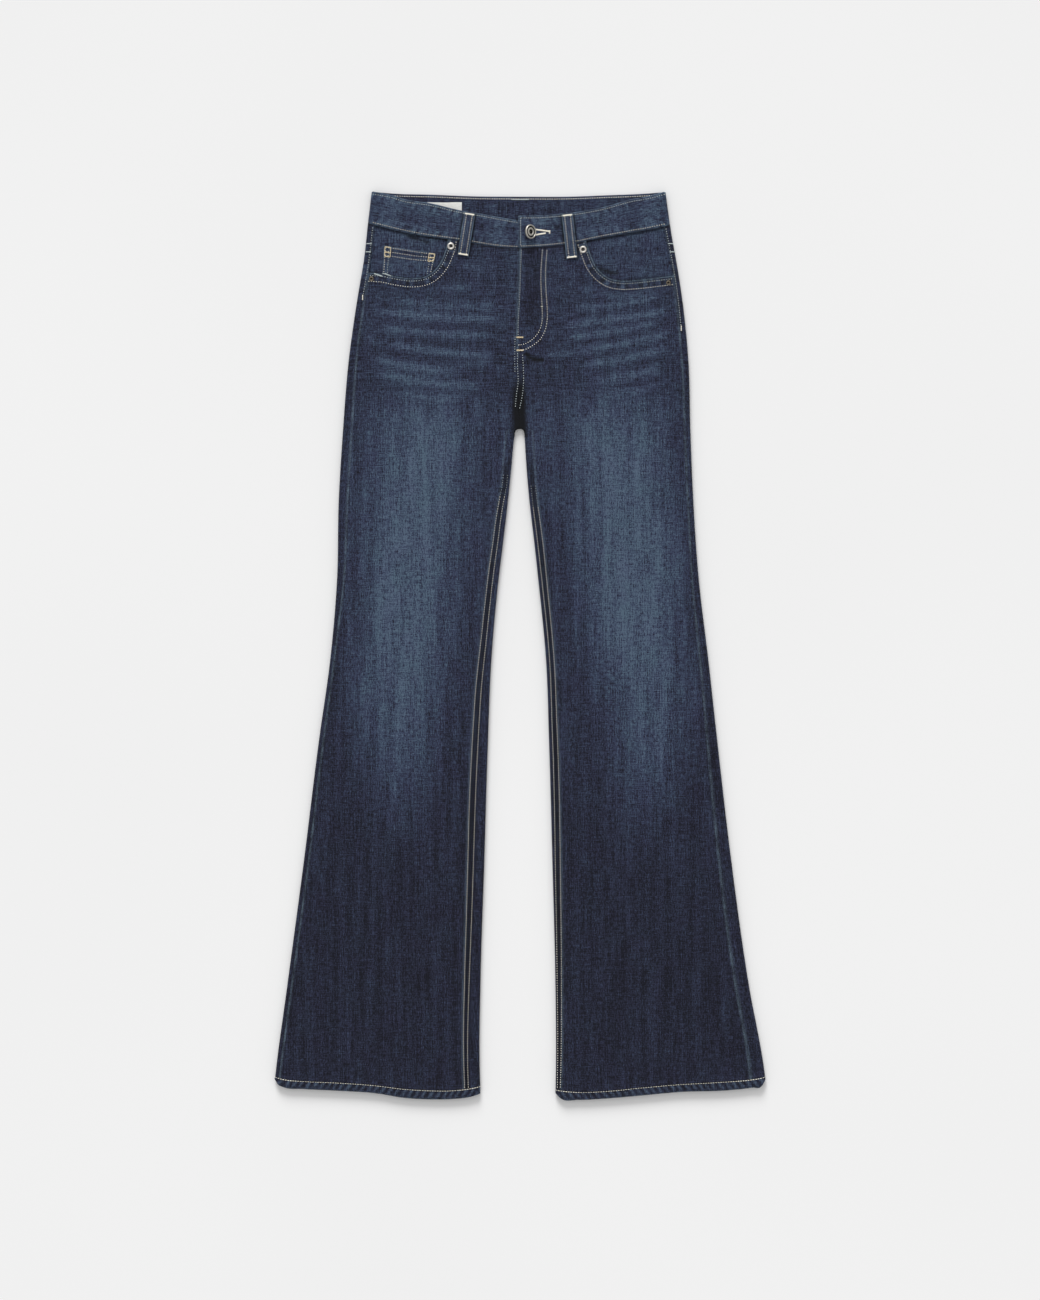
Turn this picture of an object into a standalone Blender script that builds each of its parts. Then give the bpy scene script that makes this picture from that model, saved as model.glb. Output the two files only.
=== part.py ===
"""Bootcut jeans laid flat, front up: waist towards +Y, hems towards -Y, floor at z = 0.

Lengths are in millimetres and become metres when a mesh is made. Left (-X) and right (+X)
are as seen from above. Each leg is worked out in mirrored coordinates, where w is the
distance outwards from x = 0, so x = side * w with side -1 on the left and +1 on the right.
The cloth of a leg is one flattened tube: its section is straight on top and below and
turns round a half circle at each fold. The back panels wrap round both folds, up to the
outseam and the inseam, which show on top. Seams are gaps of SEAM_GAP between the pieces.
"""
import math

import bmesh
import bpy
import numpy as np
from mathutils import Matrix, Vector

MM = 0.001
SEAM_GAP = 0.3
HALF_GAP = SEAM_GAP / 2

# Thicknesses and levels of the flattened tube.
CLOTH = 1.3
BAND_CLOTH = 2.0
HEM_CLOTH = 2.6
PATCH_CLOTH = 1.0
LOOP_CLOTH = 1.6
UNDER = PATCH_CLOTH + SEAM_GAP
FOLD_RADIUS = 2.7
MIDDLE = UNDER + FOLD_RADIUS
TOP = UNDER + 2 * FOLD_RADIUS
BAND_PROUD = 0.5
HEM_PROUD = 0.4

# Relief of the front: the crown over each thigh, the valley at the crotch, the doubled fly.
CROWN = 0.9
CROWN_REACH = 30
CROWN_TOP_Y = 480
CROWN_FADE = 90
VALLEY_DEPTH = 1.2
VALLEY_WIDTH = 9
VALLEY_TOP_Y = 370
VALLEY_END_Y = 200
FLY_LIFT = 0.9
FLY_WIDTH = 27
FLY_SOFT = 12
FLY_END_Y = 361
FLY_CURVE_Y = 392

CROTCH_Y = 260.6

# Folds at the sides of the garment and between the legs: y, distance w from x = 0.
OUTER_FOLD = {
    "left": ((545, 178.2), (504, 183), (463, 187.6), (415, 195.6), (343, 205.7), (259, 212.6),
             (175, 217.7), (79, 219.8), (-17, 228), (-113, 241.4), (-257, 259.4),
             (-401, 278.6), (-509, 293), (-524, 294.6)),
    "right": ((545, 174.8), (504, 180.4), (463, 187.6), (415, 195), (343, 202.2), (259, 204.6),
              (175, 208.1), (79, 214.8), (-17, 226.2), (-113, 236.8), (-257, 253.6),
              (-401, 273.8), (-509, 293.2), (-524, 295)),
}
INNER_FOLD = {
    "left": ((260.6, 0), (259.5, 3.6), (257, 5.5), (252, 6.6), (247, 7.3), (235, 8.6), (223, 9.6), (175, 14.4), (127, 20),
             (79, 25.8), (-17, 34.4), (-113, 38.4), (-257, 42.8), (-401, 47.4), (-497, 48.6),
             (-540, 47.4)),
    "right": ((260.6, 0), (259.5, 3.2), (257, 4.8), (252, 5.4), (247, 5.7), (235, 6.4), (223, 7.2), (175, 11.2), (127, 16.8),
              (79, 22), (-17, 31.2), (-113, 34.8), (-257, 38.8), (-401, 42.4), (-497, 43.2),
              (-540, 42.6)),
}

# Seam between the two fronts, and between the two backs: y, x.
CENTRE_FRONT = ((478, -0.6), (427, -2.4), (370, -4.4), (345, -2.8), (314, -1.4), (291, -1.4), (260.6, 0))
CENTRE_BACK = ((545, 0), (260.6, 0))

# Outseam: y, how far it lies inside the fold at the side.
OUTSEAM_INSET = {
    "left": ((505, 8), (440, 8), (380, 8), (322, 9), (203, 10), (111, 8.5), (66, 7), (11, 4.6),
             (-60, 4.2), (-113, 4.6), (-535, 4.8)),
    "right": ((505, 7.5), (440, 6.6), (380, 7.2), (259, 6), (124, 6.2), (68, 7.6), (-48, 9.8),
              (-168, 12.4), (-277, 14.6), (-445, 16), (-535, 17.5)),
}
# Inseam: y, distance round the cloth from the middle of the inner fold up to the seam.
INSEAM_RISE = {
    "left": ((260.6, 0), (230, 1.5), (200, 3.5), (169, 5.8), (111, 6.3), (9, 6.6), (-67, 9.6),
             (-168, 11.8), (-353, 12.2), (-449, 13.2), (-540, 13.5)),
    "right": ((260.6, 0), (200, 1.5), (140, 3.2), (74, 3.8), (-70, 4.2), (-168, 4.8), (-280, 4.6),
              (-377, 4.4), (-497, 3.6), (-540, 3.4)),
}

# Where each hem starts and ends: w, y.
HEM_TOP = {
    "left": ((47, -528), (62, -531), (84, -533), (115, -532.6), (144, -530.6), (168, -527.6),
             (220, -523.6), (257, -522), (284, -519.6), (295, -517)),
    "right": ((42, -532.6), (70, -535), (101, -534), (144, -529.8), (192, -525.6), (226, -523.7),
              (253, -522), (276, -520.2), (295, -517)),
}
HEM_EDGE = {
    "left": ((47, -537.6), (60, -541.6), (78, -543.8), (108, -544.4), (144, -542), (168, -537.8),
             (220, -534), (260, -532), (284, -529.8), (290, -527), (294.6, -521)),
    "right": ((42, -537), (49, -543.4), (70, -545), (101, -543.6), (144, -540), (192, -535.6),
              (249, -533.6), (278, -530.4), (291, -527.5), (295, -520.5)),
}

# Waistband. Its seam and its top edge: w, y, in front and behind.
BAND_SEAM_FRONT = {
    "left": ((-40, 477), (0, 477.3), (18, 478.1), (74, 486.5), (128, 494.6), (171, 504.6), (183, 507.6)),
    "right": ((-40, 477.4), (0, 477.6), (48, 481), (68, 483.8), (87, 487.8), (128, 495.4), (157, 500.6),
              (169, 503.1), (180.4, 505.4)),
}
BAND_TOP_FRONT = {
    "left": ((-40, 509.6), (0, 510.6), (49, 519), (69, 522.2), (109, 531.4), (140, 536.2),
             (152, 540), (178.2, 545.2)),
    "right": ((-40, 516), (0, 516.1), (24, 516.4), (48.5, 518.4), (65, 520.2), (103, 527.2), (133, 535.6),
              (157, 540), (174.8, 544.8)),
}
BAND_SEAM_BACK = {
    "left": ((0, 502), (120, 502.2), (171, 504.6), (183, 507.6)),
    "right": ((0, 502), (120, 501.8), (169, 503.1), (180.4, 505.4)),
}
BAND_TOP_BACK = {
    "left": ((0, 539.4), (52, 539.8), (110, 541.9), (151, 543), (178.2, 545.2)),
    "right": ((0, 539.4), (55, 539.4), (102, 541), (157, 543.4), (174.8, 544.8)),
}
UNDERLAP_END = -26
UNDERLAP_SINK = 1.6
OVERLAP_END = -1.9
OVERLAP_LIFT = 1.0
LAP_START = {"left": 18, "right": 45}
LAP_FULL = {"left": 4, "right": 20}

# Pocket openings, from the waistband to the outseam: w, y.
POCKET_OPENING = {
    "left": ((86.5, 488.4), (88.2, 478.2), (91, 470.2), (95.6, 459.8), (102, 451.4), (112, 444),
             (128, 441), (146, 442.8), (164.4, 446.6), (182, 447.8)),
    "right": ((79.2, 486.2), (80.9, 480.2), (84.8, 469.4), (89.8, 457.4), (97.8, 447.5), (107.8, 440.8),
              (120, 438.2), (142, 439), (163, 441.4), (184, 444)),
}
FACING_DROP = CLOTH + SEAM_GAP
FACING_UNDER_W = 10
FACING_UNDER_Y = 13

# Coin pocket on the left facing, corners as (w, y).
COIN_TOP_OUTER = (163.1, 480.5)
COIN_TOP_INNER = (100.6, 470.8)
COIN_LOW_OUTER = 165.4
COIN_LOW_INNER = 105.6
COIN_CLEARANCE = 0.6

# Yoke seam behind: height at the outseam and at the centre.
YOKE_SIDE_Y = 478
YOKE_CENTRE_Y = 432
YOKE_MIDDLE_ROW = ((0, 467), (95, 480), (190, 493))
YOKE_BLEND = (0.68, 0.34)

# Belt loops: middle of each end as (x, y), and the width.
FRONT_LOOPS = (
    ("belt_loop_front_left", (-60.2, 519.6), (-68.4, 467.8), 13.5),
    ("belt_loop_front_right", (56.6, 518.4), (62.4, 464.5), 13.5),
)
BACK_LOOPS = (
    ("belt_loop_back_left", (-104, 538.5), (-106, 486), 13.5),
    ("belt_loop_back_centre", (0, 536.5), (0, 484), 20),
    ("belt_loop_back_right", (104, 538), (106, 486), 13.5),
)
LOOP_BOW = 1.6

# Back pockets in outline: distance from the pocket's middle line, y below its top edge.
BACK_POCKET_MIDDLE = 88
BACK_POCKET_TOP = 434
BACK_POCKET_SLOPE = 0.1
BACK_POCKET_OUTLINE = ((-66, 0), (66, 0), (60, -112), (0, -142), (-60, -112))

# Button and rivets.
BUTTON_AT = (12.6, 496)
BUTTON_RADIUS = 8.7
BUTTON_TILT = 45
SHANK_RADIUS = 2.2
SHANK_LENGTH = 7.6
SLOT_OUTLINE = ((2.5, 1.5), (4.5, 3.3), (12, 3.3), (34, 1.2), (34.8, 0.2),
                (34, -0.6), (12, -3.3), (4.5, -3.3), (2.5, -1.5))
SLOT_Y = 496
RIVETS = (
    ("rivet_front_left", (-83, 479.6), 4.4),
    ("rivet_front_right", (75.6, 475.6), 4.4),
    ("rivet_side_left", (-178.4, 440.4), 2.8),
    ("rivet_side_right", (178, 435.6), 2.8),
)

LABEL_CENTRE = (-90.6, 521.4)
LABEL_SIZE = (41.5, 22, 0.5)

# Places by the hem's corners where its rows are read: w at the side, w at the inseam, and y.
SIDE_W = 290
INSEAM_W = 50
INSEAM_Y = -500

# Rows of the leg below the pocket, and the fractions of the last rows that bend to the hem.
HIP_ROWS = (385, 350, 325, 305, 288, 274, 265, CROTCH_Y)
LEG_ROWS = (259.5, 257, 252, 247, 235, 220, 203, 180, 150, 111, 66, 11, -50, -110, -175, -245, -320, -400)
HEM_BLEND = (0.4, 0.75, 1.0)
POCKET_BLEND = (0.0, 0.12, 0.35, 0.65)
INNER_COLUMNS = 4
WAIST_COLUMNS = 5
OPENING_COLUMNS = 9
WRAP_COLUMNS = 9
BOTTOM_COLUMNS = 10
HEM_COLUMNS = 16
ARC_COLUMNS = 6
SOFT_ZONE = 6.0
BAND_FRONT_COLUMNS = 18
BAND_BACK_COLUMNS = 9
BAND_ROWS = 5
SLOT_FLOOR = MIDDLE + 1.8

DENIM_DARK = (0.030, 0.040, 0.085, 1)
DENIM_MID = (0.045, 0.062, 0.115, 1)
WHITE = (0.8, 0.8, 0.78, 1)
PEWTER = (0.30, 0.29, 0.27, 1)
COPPER = (0.33, 0.20, 0.12, 1)


class Profile:
    """A smooth line through (position, value) rows, with slopes from the rows beside each."""

    def __init__(self, rows):
        self.at, self.value = np.array(sorted(rows), float).T
        self.slope = np.gradient(self.value, self.at)

    def __call__(self, at):
        at = np.clip(np.asarray(at, float), self.at[0], self.at[-1])
        k = np.clip(np.searchsorted(self.at, at, side="right") - 1, 0, len(self.at) - 2)
        span = self.at[k + 1] - self.at[k]
        t = (at - self.at[k]) / span
        rise = self.value[k + 1] - self.value[k]
        start = t * (1 - t) ** 2 * span * self.slope[k]
        end = t ** 2 * (t - 1) * span * self.slope[k + 1]
        return self.value[k] + rise * t ** 2 * (3 - 2 * t) + start + end


class Section:
    """Straight runs and right-hand bends in the (w, z) plane, sampled by distance along them."""

    def __init__(self, w, z, heading=0.0):
        self.place = (w, z, heading)
        self.parts = []
        self.length = 0.0

    def run(self, length):
        w, z, heading = self.place
        self.parts.append((self.length, 0.0, self.place))
        self.place = (w + length * math.cos(heading), z + length * math.sin(heading), heading)
        self.length += length
        return self

    def bend(self, radius, angle):
        w, z, heading = self.place
        self.parts.append((self.length, radius, self.place))
        after = heading - angle
        self.place = (w + radius * (math.sin(heading) - math.sin(after)),
                      z - radius * (math.cos(heading) - math.cos(after)), after)
        self.length += radius * angle
        return self

    def at(self, distance):
        """Rows of w, z and the outward normal's w and z."""
        rows = np.empty((len(distance), 4))
        for start, radius, (w, z, heading) in self.parts:
            inside = distance >= start - 1e-9
            step = distance[inside] - start
            if radius:
                turned = heading - step / radius
                rows[inside, 0] = w + radius * (math.sin(heading) - np.sin(turned))
                rows[inside, 1] = z - radius * (math.cos(heading) - np.cos(turned))
            else:
                turned = np.full(len(step), heading)
                rows[inside, 0] = w + step * math.cos(heading)
                rows[inside, 1] = z + step * math.sin(heading)
            rows[inside, 2] = -np.sin(turned)
            rows[inside, 3] = np.cos(turned)
        return rows


def ease(value):
    """Smooth step from 0 to 1."""
    t = np.clip(value, 0, 1)
    return t * t * (3 - 2 * t)


class Leg:
    """One half of the garment: its folds, seams and heights, all in (w, y)."""

    def __init__(self, name):
        self.name = name
        self.side = -1 if name == "left" else 1
        self.outer = Profile(OUTER_FOLD[name])
        self.inner = Profile(INNER_FOLD[name])
        self.inset = Profile(OUTSEAM_INSET[name])
        self.rise = Profile(INSEAM_RISE[name])
        self.centre_front = Profile(CENTRE_FRONT)
        self.centre_back = Profile(CENTRE_BACK)
        self.hem_top = Profile(HEM_TOP[name])
        self.hem_edge = Profile(HEM_EDGE[name])
        self.band_seam = Profile(BAND_SEAM_FRONT[name])
        self.opening_w = Profile(tuple(enumerate(w for w, y in POCKET_OPENING[name])))
        self.opening_y = Profile(tuple(enumerate(y for w, y in POCKET_OPENING[name])))

    def outseam(self, y):
        return self.outer(y) - self.inset(y)

    def roll(self, y):
        """How far the cloth has turned down into the seam between the legs, 0 to 90 degrees."""
        return math.pi / 2 * float(ease((VALLEY_TOP_Y - y) / (VALLEY_TOP_Y - CROTCH_Y)))

    def inner_edge(self, y, seam):
        """Fold line at the inner side, and how far the front turns round it."""
        if y >= CROTCH_Y:
            turn = self.roll(y)
            return self.side * float(seam(y)) - FOLD_RADIUS * (1 - math.sin(turn)), turn
        turn = max(0.0, math.pi / 2 - float(self.rise(y)) / FOLD_RADIUS)
        return float(self.inner(y)), turn

    def front_start(self, y):
        """Where the front starts, as a distance outwards with the fold laid flat."""
        edge, turn = self.inner_edge(y, self.centre_front)
        if y >= CROTCH_Y:
            return edge + FOLD_RADIUS - FOLD_RADIUS * turn
        return edge + FOLD_RADIUS - FOLD_RADIUS * math.pi / 2 + float(self.rise(y))

    def relief(self, w, y):
        """Height of the front over the flat top of the tube."""
        leg = ease((VALLEY_TOP_Y - y) / (VALLEY_TOP_Y - CROTCH_Y))
        start = np.where(y >= CROTCH_Y, self.side * self.centre_front(y), self.inner(y))
        from_inner = ease((w - start - 2 * FOLD_RADIUS) / CROWN_REACH)
        from_outer = ease((self.outseam(y) - w) / CROWN_REACH)
        fade = ease((CROWN_TOP_Y - y) / CROWN_FADE)
        crown = CROWN * fade * from_outer * (1 - leg + leg * from_inner)
        depth = VALLEY_DEPTH * leg * ease((y - VALLEY_END_Y) / (CROTCH_Y - VALLEY_END_Y))
        valley = depth * np.exp(-((w - start) / VALLEY_WIDTH) ** 2 / 2)
        return crown - valley + self.fly_lift(w, y)

    def fly_lift(self, w, y):
        """The doubled cloth of the fly, on the right front inside the curved stitching."""
        if self.side < 0:
            return np.zeros(np.shape(w))
        bend = np.clip((y - FLY_END_Y) / (FLY_CURVE_Y - FLY_END_Y), 0, 1)
        reach = FLY_WIDTH * np.sqrt(bend * (2 - bend))
        over = ease((y - FLY_END_Y + FLY_SOFT) / FLY_SOFT)
        return FLY_LIFT * over * ease((reach + FLY_SOFT / 2 - w) / FLY_SOFT)

    def front_points(self, start, s, y):
        """Outer points and normals of the front; s is the distance outwards, folds laid flat."""
        edge = np.array([self.inner_edge(float(value), self.centre_front)[0] for value in y])
        angle = np.clip((edge + FOLD_RADIUS - s) / FOLD_RADIUS, 0, math.pi / 2)
        w = np.where(angle > 0, edge + FOLD_RADIUS - FOLD_RADIUS * np.sin(angle), s)
        z = MIDDLE + FOLD_RADIUS * np.cos(angle) + self.relief(w, y) * np.cos(angle)
        normal = np.stack((-np.sin(angle), np.zeros(len(s)), np.cos(angle)), axis=1)
        points = np.stack((w, y, z), axis=1)
        points[0, 0] += HALF_GAP if y[0] >= CROTCH_Y else HALF_GAP * normal[0, 2]
        points[0, 2] -= HALF_GAP * normal[0, 0]
        points[-1, 0] -= HALF_GAP
        return points, normal

    def mirrored(self, points):
        """From (w, y, z) to (x, y, z)."""
        return points * np.array((self.side, 1, 1))


LEGS = {"left": Leg("left"), "right": Leg("right")}


def front_height(x, y):
    """Top of the front panels at x, y."""
    leg = LEGS["left" if x < LEGS["left"].centre_front(y) else "right"]
    return TOP + float(leg.relief(np.float64(leg.side * x), np.float64(y)))


def straight_row(y):
    return lambda w: np.full(np.shape(w), float(y))


def blended_row(y, curve, part):
    return lambda w: y + (curve(w) - y) * part


def leg_rows(leg):
    """Rows below the crotch as functions of w; the last ones bend to the hem's seam."""
    rows = [straight_row(y) for y in LEG_ROWS]
    rows += [blended_row(LEG_ROWS[-1], leg.hem_top, part) for part in HEM_BLEND]
    return rows


def material(name, colour, roughness, metallic=0.0):
    made = bpy.data.materials.new(name)
    made.use_nodes = True
    shader = made.node_tree.nodes["Principled BSDF"]
    shader.inputs["Base Color"].default_value = colour
    shader.inputs["Roughness"].default_value = roughness
    shader.inputs["Metallic"].default_value = metallic
    made.diffuse_color = colour
    return made


def add_object(name, mesh, finish, collection):
    mesh.materials.append(finish)
    piece = bpy.data.objects.new(name, mesh)
    collection.objects.link(piece)
    return piece


def grid_faces(rows, columns, closed=False):
    """Quads of a grid of points; a closed grid joins its last column to its first."""
    faces = []
    for i in range(rows - 1):
        for j in range(columns if closed else columns - 1):
            k = (j + 1) % columns
            faces.append((i * columns + j, i * columns + k, (i + 1) * columns + k, (i + 1) * columns + j))
    return faces


def cloth_wall(name, outer, inner, finish, collection, closed=False):
    """A closed wall of cloth between an outer and an inner grid of points."""
    rows, columns = outer.shape[:2]
    half = rows * columns
    skin = grid_faces(rows, columns, closed)
    faces = skin + [tuple(half + index for index in reversed(face)) for face in skin]
    rim = [[i * columns + j for j in range(columns)] for i in (0, rows - 1)]
    if closed:
        rim = [line + line[:1] for line in rim]
    else:
        rim += [[i * columns + j for i in range(rows)] for j in (0, columns - 1)]
    for line in rim:
        faces += [(a, b, half + b, half + a) for a, b in zip(line, line[1:])]
    points = np.concatenate((outer.reshape(-1, 3), inner.reshape(-1, 3))) * MM
    mesh = bpy.data.meshes.new(name)
    mesh.from_pydata(points.tolist(), [], faces)
    shell = bmesh.new()
    shell.from_mesh(mesh)
    bmesh.ops.recalc_face_normals(shell, faces=shell.faces[:])
    shell.to_mesh(mesh)
    shell.free()
    return add_object(name, mesh, finish, collection)


def patch(name, points, thickness, finish, collection):
    """A piece laid on another: an open surface with its thickness built upwards."""
    rows, columns = points.shape[:2]
    mesh = bpy.data.meshes.new(name)
    mesh.from_pydata((points.reshape(-1, 3) * MM).tolist(), [], grid_faces(rows, columns))
    if mesh.polygons[0].normal.z < 0:
        mesh.flip_normals()
    piece = add_object(name, mesh, finish, collection)
    solidify = piece.modifiers.new("thickness", "SOLIDIFY")
    solidify.thickness = thickness * MM
    solidify.offset = 1
    return piece


def front_panel(leg, finish, collection):
    """Front of one leg, from the waistband and the pocket opening down to the hem."""
    opening = np.linspace(0, len(POCKET_OPENING[leg.name]) - 1, OPENING_COLUMNS + 1)
    seam_w = np.linspace(SOFT_ZONE, POCKET_OPENING[leg.name][0][0], WAIST_COLUMNS + 1)[:-1]
    centre = leg.side * float(leg.centre_front(leg.band_seam(0)))
    zone_w = centre + np.linspace(0, SOFT_ZONE, INNER_COLUMNS + 1)[:-1]
    top_w = np.concatenate((zone_w, seam_w, leg.opening_w(opening)))
    top_y = np.concatenate((leg.band_seam(zone_w), leg.band_seam(seam_w), leg.opening_y(opening)))
    top_y -= HALF_GAP
    count = WAIST_COLUMNS + OPENING_COLUMNS

    def spread(start, end):
        zone = start + np.linspace(0, SOFT_ZONE, INNER_COLUMNS + 1)[:-1]
        return np.concatenate((zone, np.linspace(start + SOFT_ZONE, end, count + 1)))

    grid = []
    low_y = HIP_ROWS[0]
    low = spread(leg.front_start(low_y), float(leg.outseam(low_y)))
    fraction = (low - low[0]) / (low[-1] - low[0])
    for part in POCKET_BLEND:
        y = top_y + (low_y - top_y) * part
        s = top_w + (low - top_w) * part
        s += (leg.front_start(float(y[0])) - s[0]) * (1 - fraction)
        s += (float(leg.outseam(y[-1])) - s[-1]) * fraction
        grid.append(leg.front_points(s[0], s, y))
    for row in [straight_row(y) for y in HIP_ROWS] + leg_rows(leg):
        inner_y = float(row(leg.inner(INSEAM_Y) if row(0.0) < CROTCH_Y else 0.0))
        outer_y = float(row(leg.outer(row(SIDE_W))))
        s = spread(leg.front_start(inner_y), float(leg.outseam(outer_y)))
        grid.append(leg.front_points(s[0], s, np.asarray(row(s), float)))
    outer = np.array([points for points, normal in grid])
    normals = np.array([normal for points, normal in grid])
    outer[-1, :, 1] += HALF_GAP
    inner = outer - CLOTH * normals
    return cloth_wall("front_" + leg.name, leg.mirrored(outer), leg.mirrored(inner), finish, collection)


def back_row(leg, row):
    """Points and normals from the outseam round the side, below, and round the inner fold."""
    outer_y = float(row(leg.outer(row(SIDE_W))))
    inner_y = float(row(leg.inner(INSEAM_Y) if row(0.0) < CROTCH_Y else 0.0))
    outer = float(leg.outer(outer_y))
    edge, turn = leg.inner_edge(inner_y, leg.centre_back)
    lap = 0.0
    wrap = turn
    if inner_y < CROTCH_Y:
        rise = float(leg.rise(inner_y))
        wrap = min(math.pi, math.pi / 2 + rise / FOLD_RADIUS)
        lap = max(0.0, rise - math.pi / 2 * FOLD_RADIUS)
    seam = float(leg.outseam(outer_y))
    line = Section(seam, TOP).run(outer - FOLD_RADIUS - seam).bend(FOLD_RADIUS, math.pi)
    side_length = line.length
    line.run(outer - edge - 2 * FOLD_RADIUS)
    line.bend(FOLD_RADIUS, wrap).run(lap)
    inner_length = max(SOFT_ZONE, FOLD_RADIUS * wrap + lap)
    flat = outer - FOLD_RADIUS - seam
    distance = np.concatenate((
        [0.0],
        flat + np.linspace(0, side_length - flat, ARC_COLUMNS + 1)[:-1],
        np.linspace(side_length, line.length - inner_length, BOTTOM_COLUMNS + 1)[:-1],
        np.linspace(line.length - inner_length, line.length, WRAP_COLUMNS + 1),
    ))
    found = line.at(distance)
    w, z = found[:, 0].copy(), found[:, 1].copy()
    normal = np.stack((found[:, 2], np.zeros(len(w)), found[:, 3]), axis=1)
    w[0] += HALF_GAP
    w[-1] -= HALF_GAP * normal[-1, 2]
    z[-1] += HALF_GAP * normal[-1, 0]
    if inner_y >= CROTCH_Y:
        w[-1] += HALF_GAP * math.sin(turn)
    points = np.stack((w, np.asarray(row(w), float), z), axis=1)
    return points, normal


def wrapped_panel(name, leg, rows, finish, collection):
    """A panel that wraps round the folds, its first and last row set back by the seam gap."""
    grid = [back_row(leg, row) for row in rows]
    outer = np.array([points for points, normal in grid])
    normals = np.array([normal for points, normal in grid])
    outer[0, :, 1] -= HALF_GAP
    outer[-1, :, 1] += HALF_GAP
    inner = outer - CLOTH * normals
    return cloth_wall(name, leg.mirrored(outer), leg.mirrored(inner), finish, collection)


def back_panels(leg, finish, collection):
    """Yoke and back of one leg."""
    waist = Profile(BAND_SEAM_BACK[leg.name])
    yoke_seam = Profile(((0, YOKE_CENTRE_Y), (95, 0.5 * (YOKE_CENTRE_Y + YOKE_SIDE_Y) + 1), (190, YOKE_SIDE_Y)))
    middle = Profile(YOKE_MIDDLE_ROW)
    wrapped_panel("yoke_" + leg.name, leg, [waist, middle, yoke_seam], finish, collection)
    rows = [yoke_seam]
    rows += [blended_row(HIP_ROWS[0], yoke_seam, part) for part in YOKE_BLEND]
    rows += [straight_row(y) for y in HIP_ROWS] + leg_rows(leg)
    wrapped_panel("back_" + leg.name, leg, rows, finish, collection)


def ring_row(leg, curve, shift):
    """One row of the hem: the closed section, from the outer end of its top."""
    radius = (TOP + HEM_PROUD) / 2
    outer = float(leg.outer(curve(SIDE_W)))
    inner = float(leg.inner(curve(INSEAM_W)))
    line = Section(inner + radius, 2 * radius)
    width = outer - inner - 2 * radius
    line.run(width).bend(radius, math.pi).run(width).bend(radius, math.pi)
    half_turn = math.pi * radius
    flats = np.linspace(0, width, HEM_COLUMNS + 1)[:-1]
    arcs = np.linspace(0, half_turn, ARC_COLUMNS + 1)[:-1]
    half = np.concatenate((flats, width + arcs))
    found = line.at(np.concatenate((half, width + half_turn + half)))
    w, z = found[:, 0], found[:, 1]
    normal = np.stack((found[:, 2], np.zeros(len(w)), found[:, 3]), axis=1)
    return np.stack((w, curve(w) + shift, z), axis=1), normal


def hem(leg, finish, collection):
    """The turned-up hem: a tube round the end of the leg, thicker than the panels."""
    grid = [ring_row(leg, leg.hem_top, -SEAM_GAP), ring_row(leg, leg.hem_edge, 0.0)]
    outer = np.array([points for points, normal in grid])
    inner = outer - HEM_CLOTH * np.array([normal for points, normal in grid])
    return cloth_wall("hem_" + leg.name, leg.mirrored(outer), leg.mirrored(inner), finish, collection, True)


def band_lift(leg, w):
    """The left end sinks under the right end, which rises over it."""
    part = ease((LAP_START[leg.name] - w) / (LAP_START[leg.name] - LAP_FULL[leg.name]))
    return part * (-UNDERLAP_SINK if leg.side < 0 else OVERLAP_LIFT)


def waistband(leg, finish, collection):
    """Half the waistband, from the middle of the back round the side to the front end."""
    radius = FOLD_RADIUS + BAND_PROUD / 2
    end = UNDERLAP_END if leg.side < 0 else OVERLAP_END
    seam_front = leg.band_seam
    seam_back = Profile(BAND_SEAM_BACK[leg.name])
    top_front = Profile(BAND_TOP_FRONT[leg.name])
    top_back = Profile(BAND_TOP_BACK[leg.name])
    back_columns = BAND_BACK_COLUMNS
    front_columns = BAND_FRONT_COLUMNS
    grid = []
    for across in np.linspace(0, 1, BAND_ROWS):
        outer = float(leg.outer(505 + 40 * across))
        line = Section(outer - radius, UNDER + 2 * radius).bend(radius, math.pi)
        arc = line.at(np.linspace(0, line.length, ARC_COLUMNS + 1))
        back_w = np.linspace(outer - radius, HALF_GAP, back_columns + 1)[1:]
        back = np.stack((back_w, np.full(back_columns, UNDER), np.zeros(back_columns),
                         np.full(back_columns, -1.0)), axis=1)
        front_w = np.linspace(end, outer - radius, front_columns + 1)[:-1]
        front_z = UNDER + 2 * radius + band_lift(leg, front_w)
        front = np.stack((front_w, front_z, np.zeros(front_columns), np.ones(front_columns)), axis=1)
        found = np.concatenate((front, arc, back))
        w, z = found[:, 0], found[:, 1]
        behind = ease((UNDER + 1.8 * radius - z) / (1.6 * radius)) * (w > outer - 2 * radius)
        behind[-back_columns:] = 1
        low = seam_front(w) * (1 - behind) + seam_back(w) * behind + HALF_GAP
        high = top_front(w) * (1 - behind) + top_back(w) * behind
        normal = np.stack((found[:, 2], np.zeros(len(w)), found[:, 3]), axis=1)
        grid.append((np.stack((w, low + (high - low) * across, z), axis=1), normal))
    outer = np.array([points for points, normal in grid])
    inner = outer - BAND_CLOTH * np.array([normal for points, normal in grid])
    return cloth_wall("waistband_" + leg.name, leg.mirrored(outer), leg.mirrored(inner), finish, collection)


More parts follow.
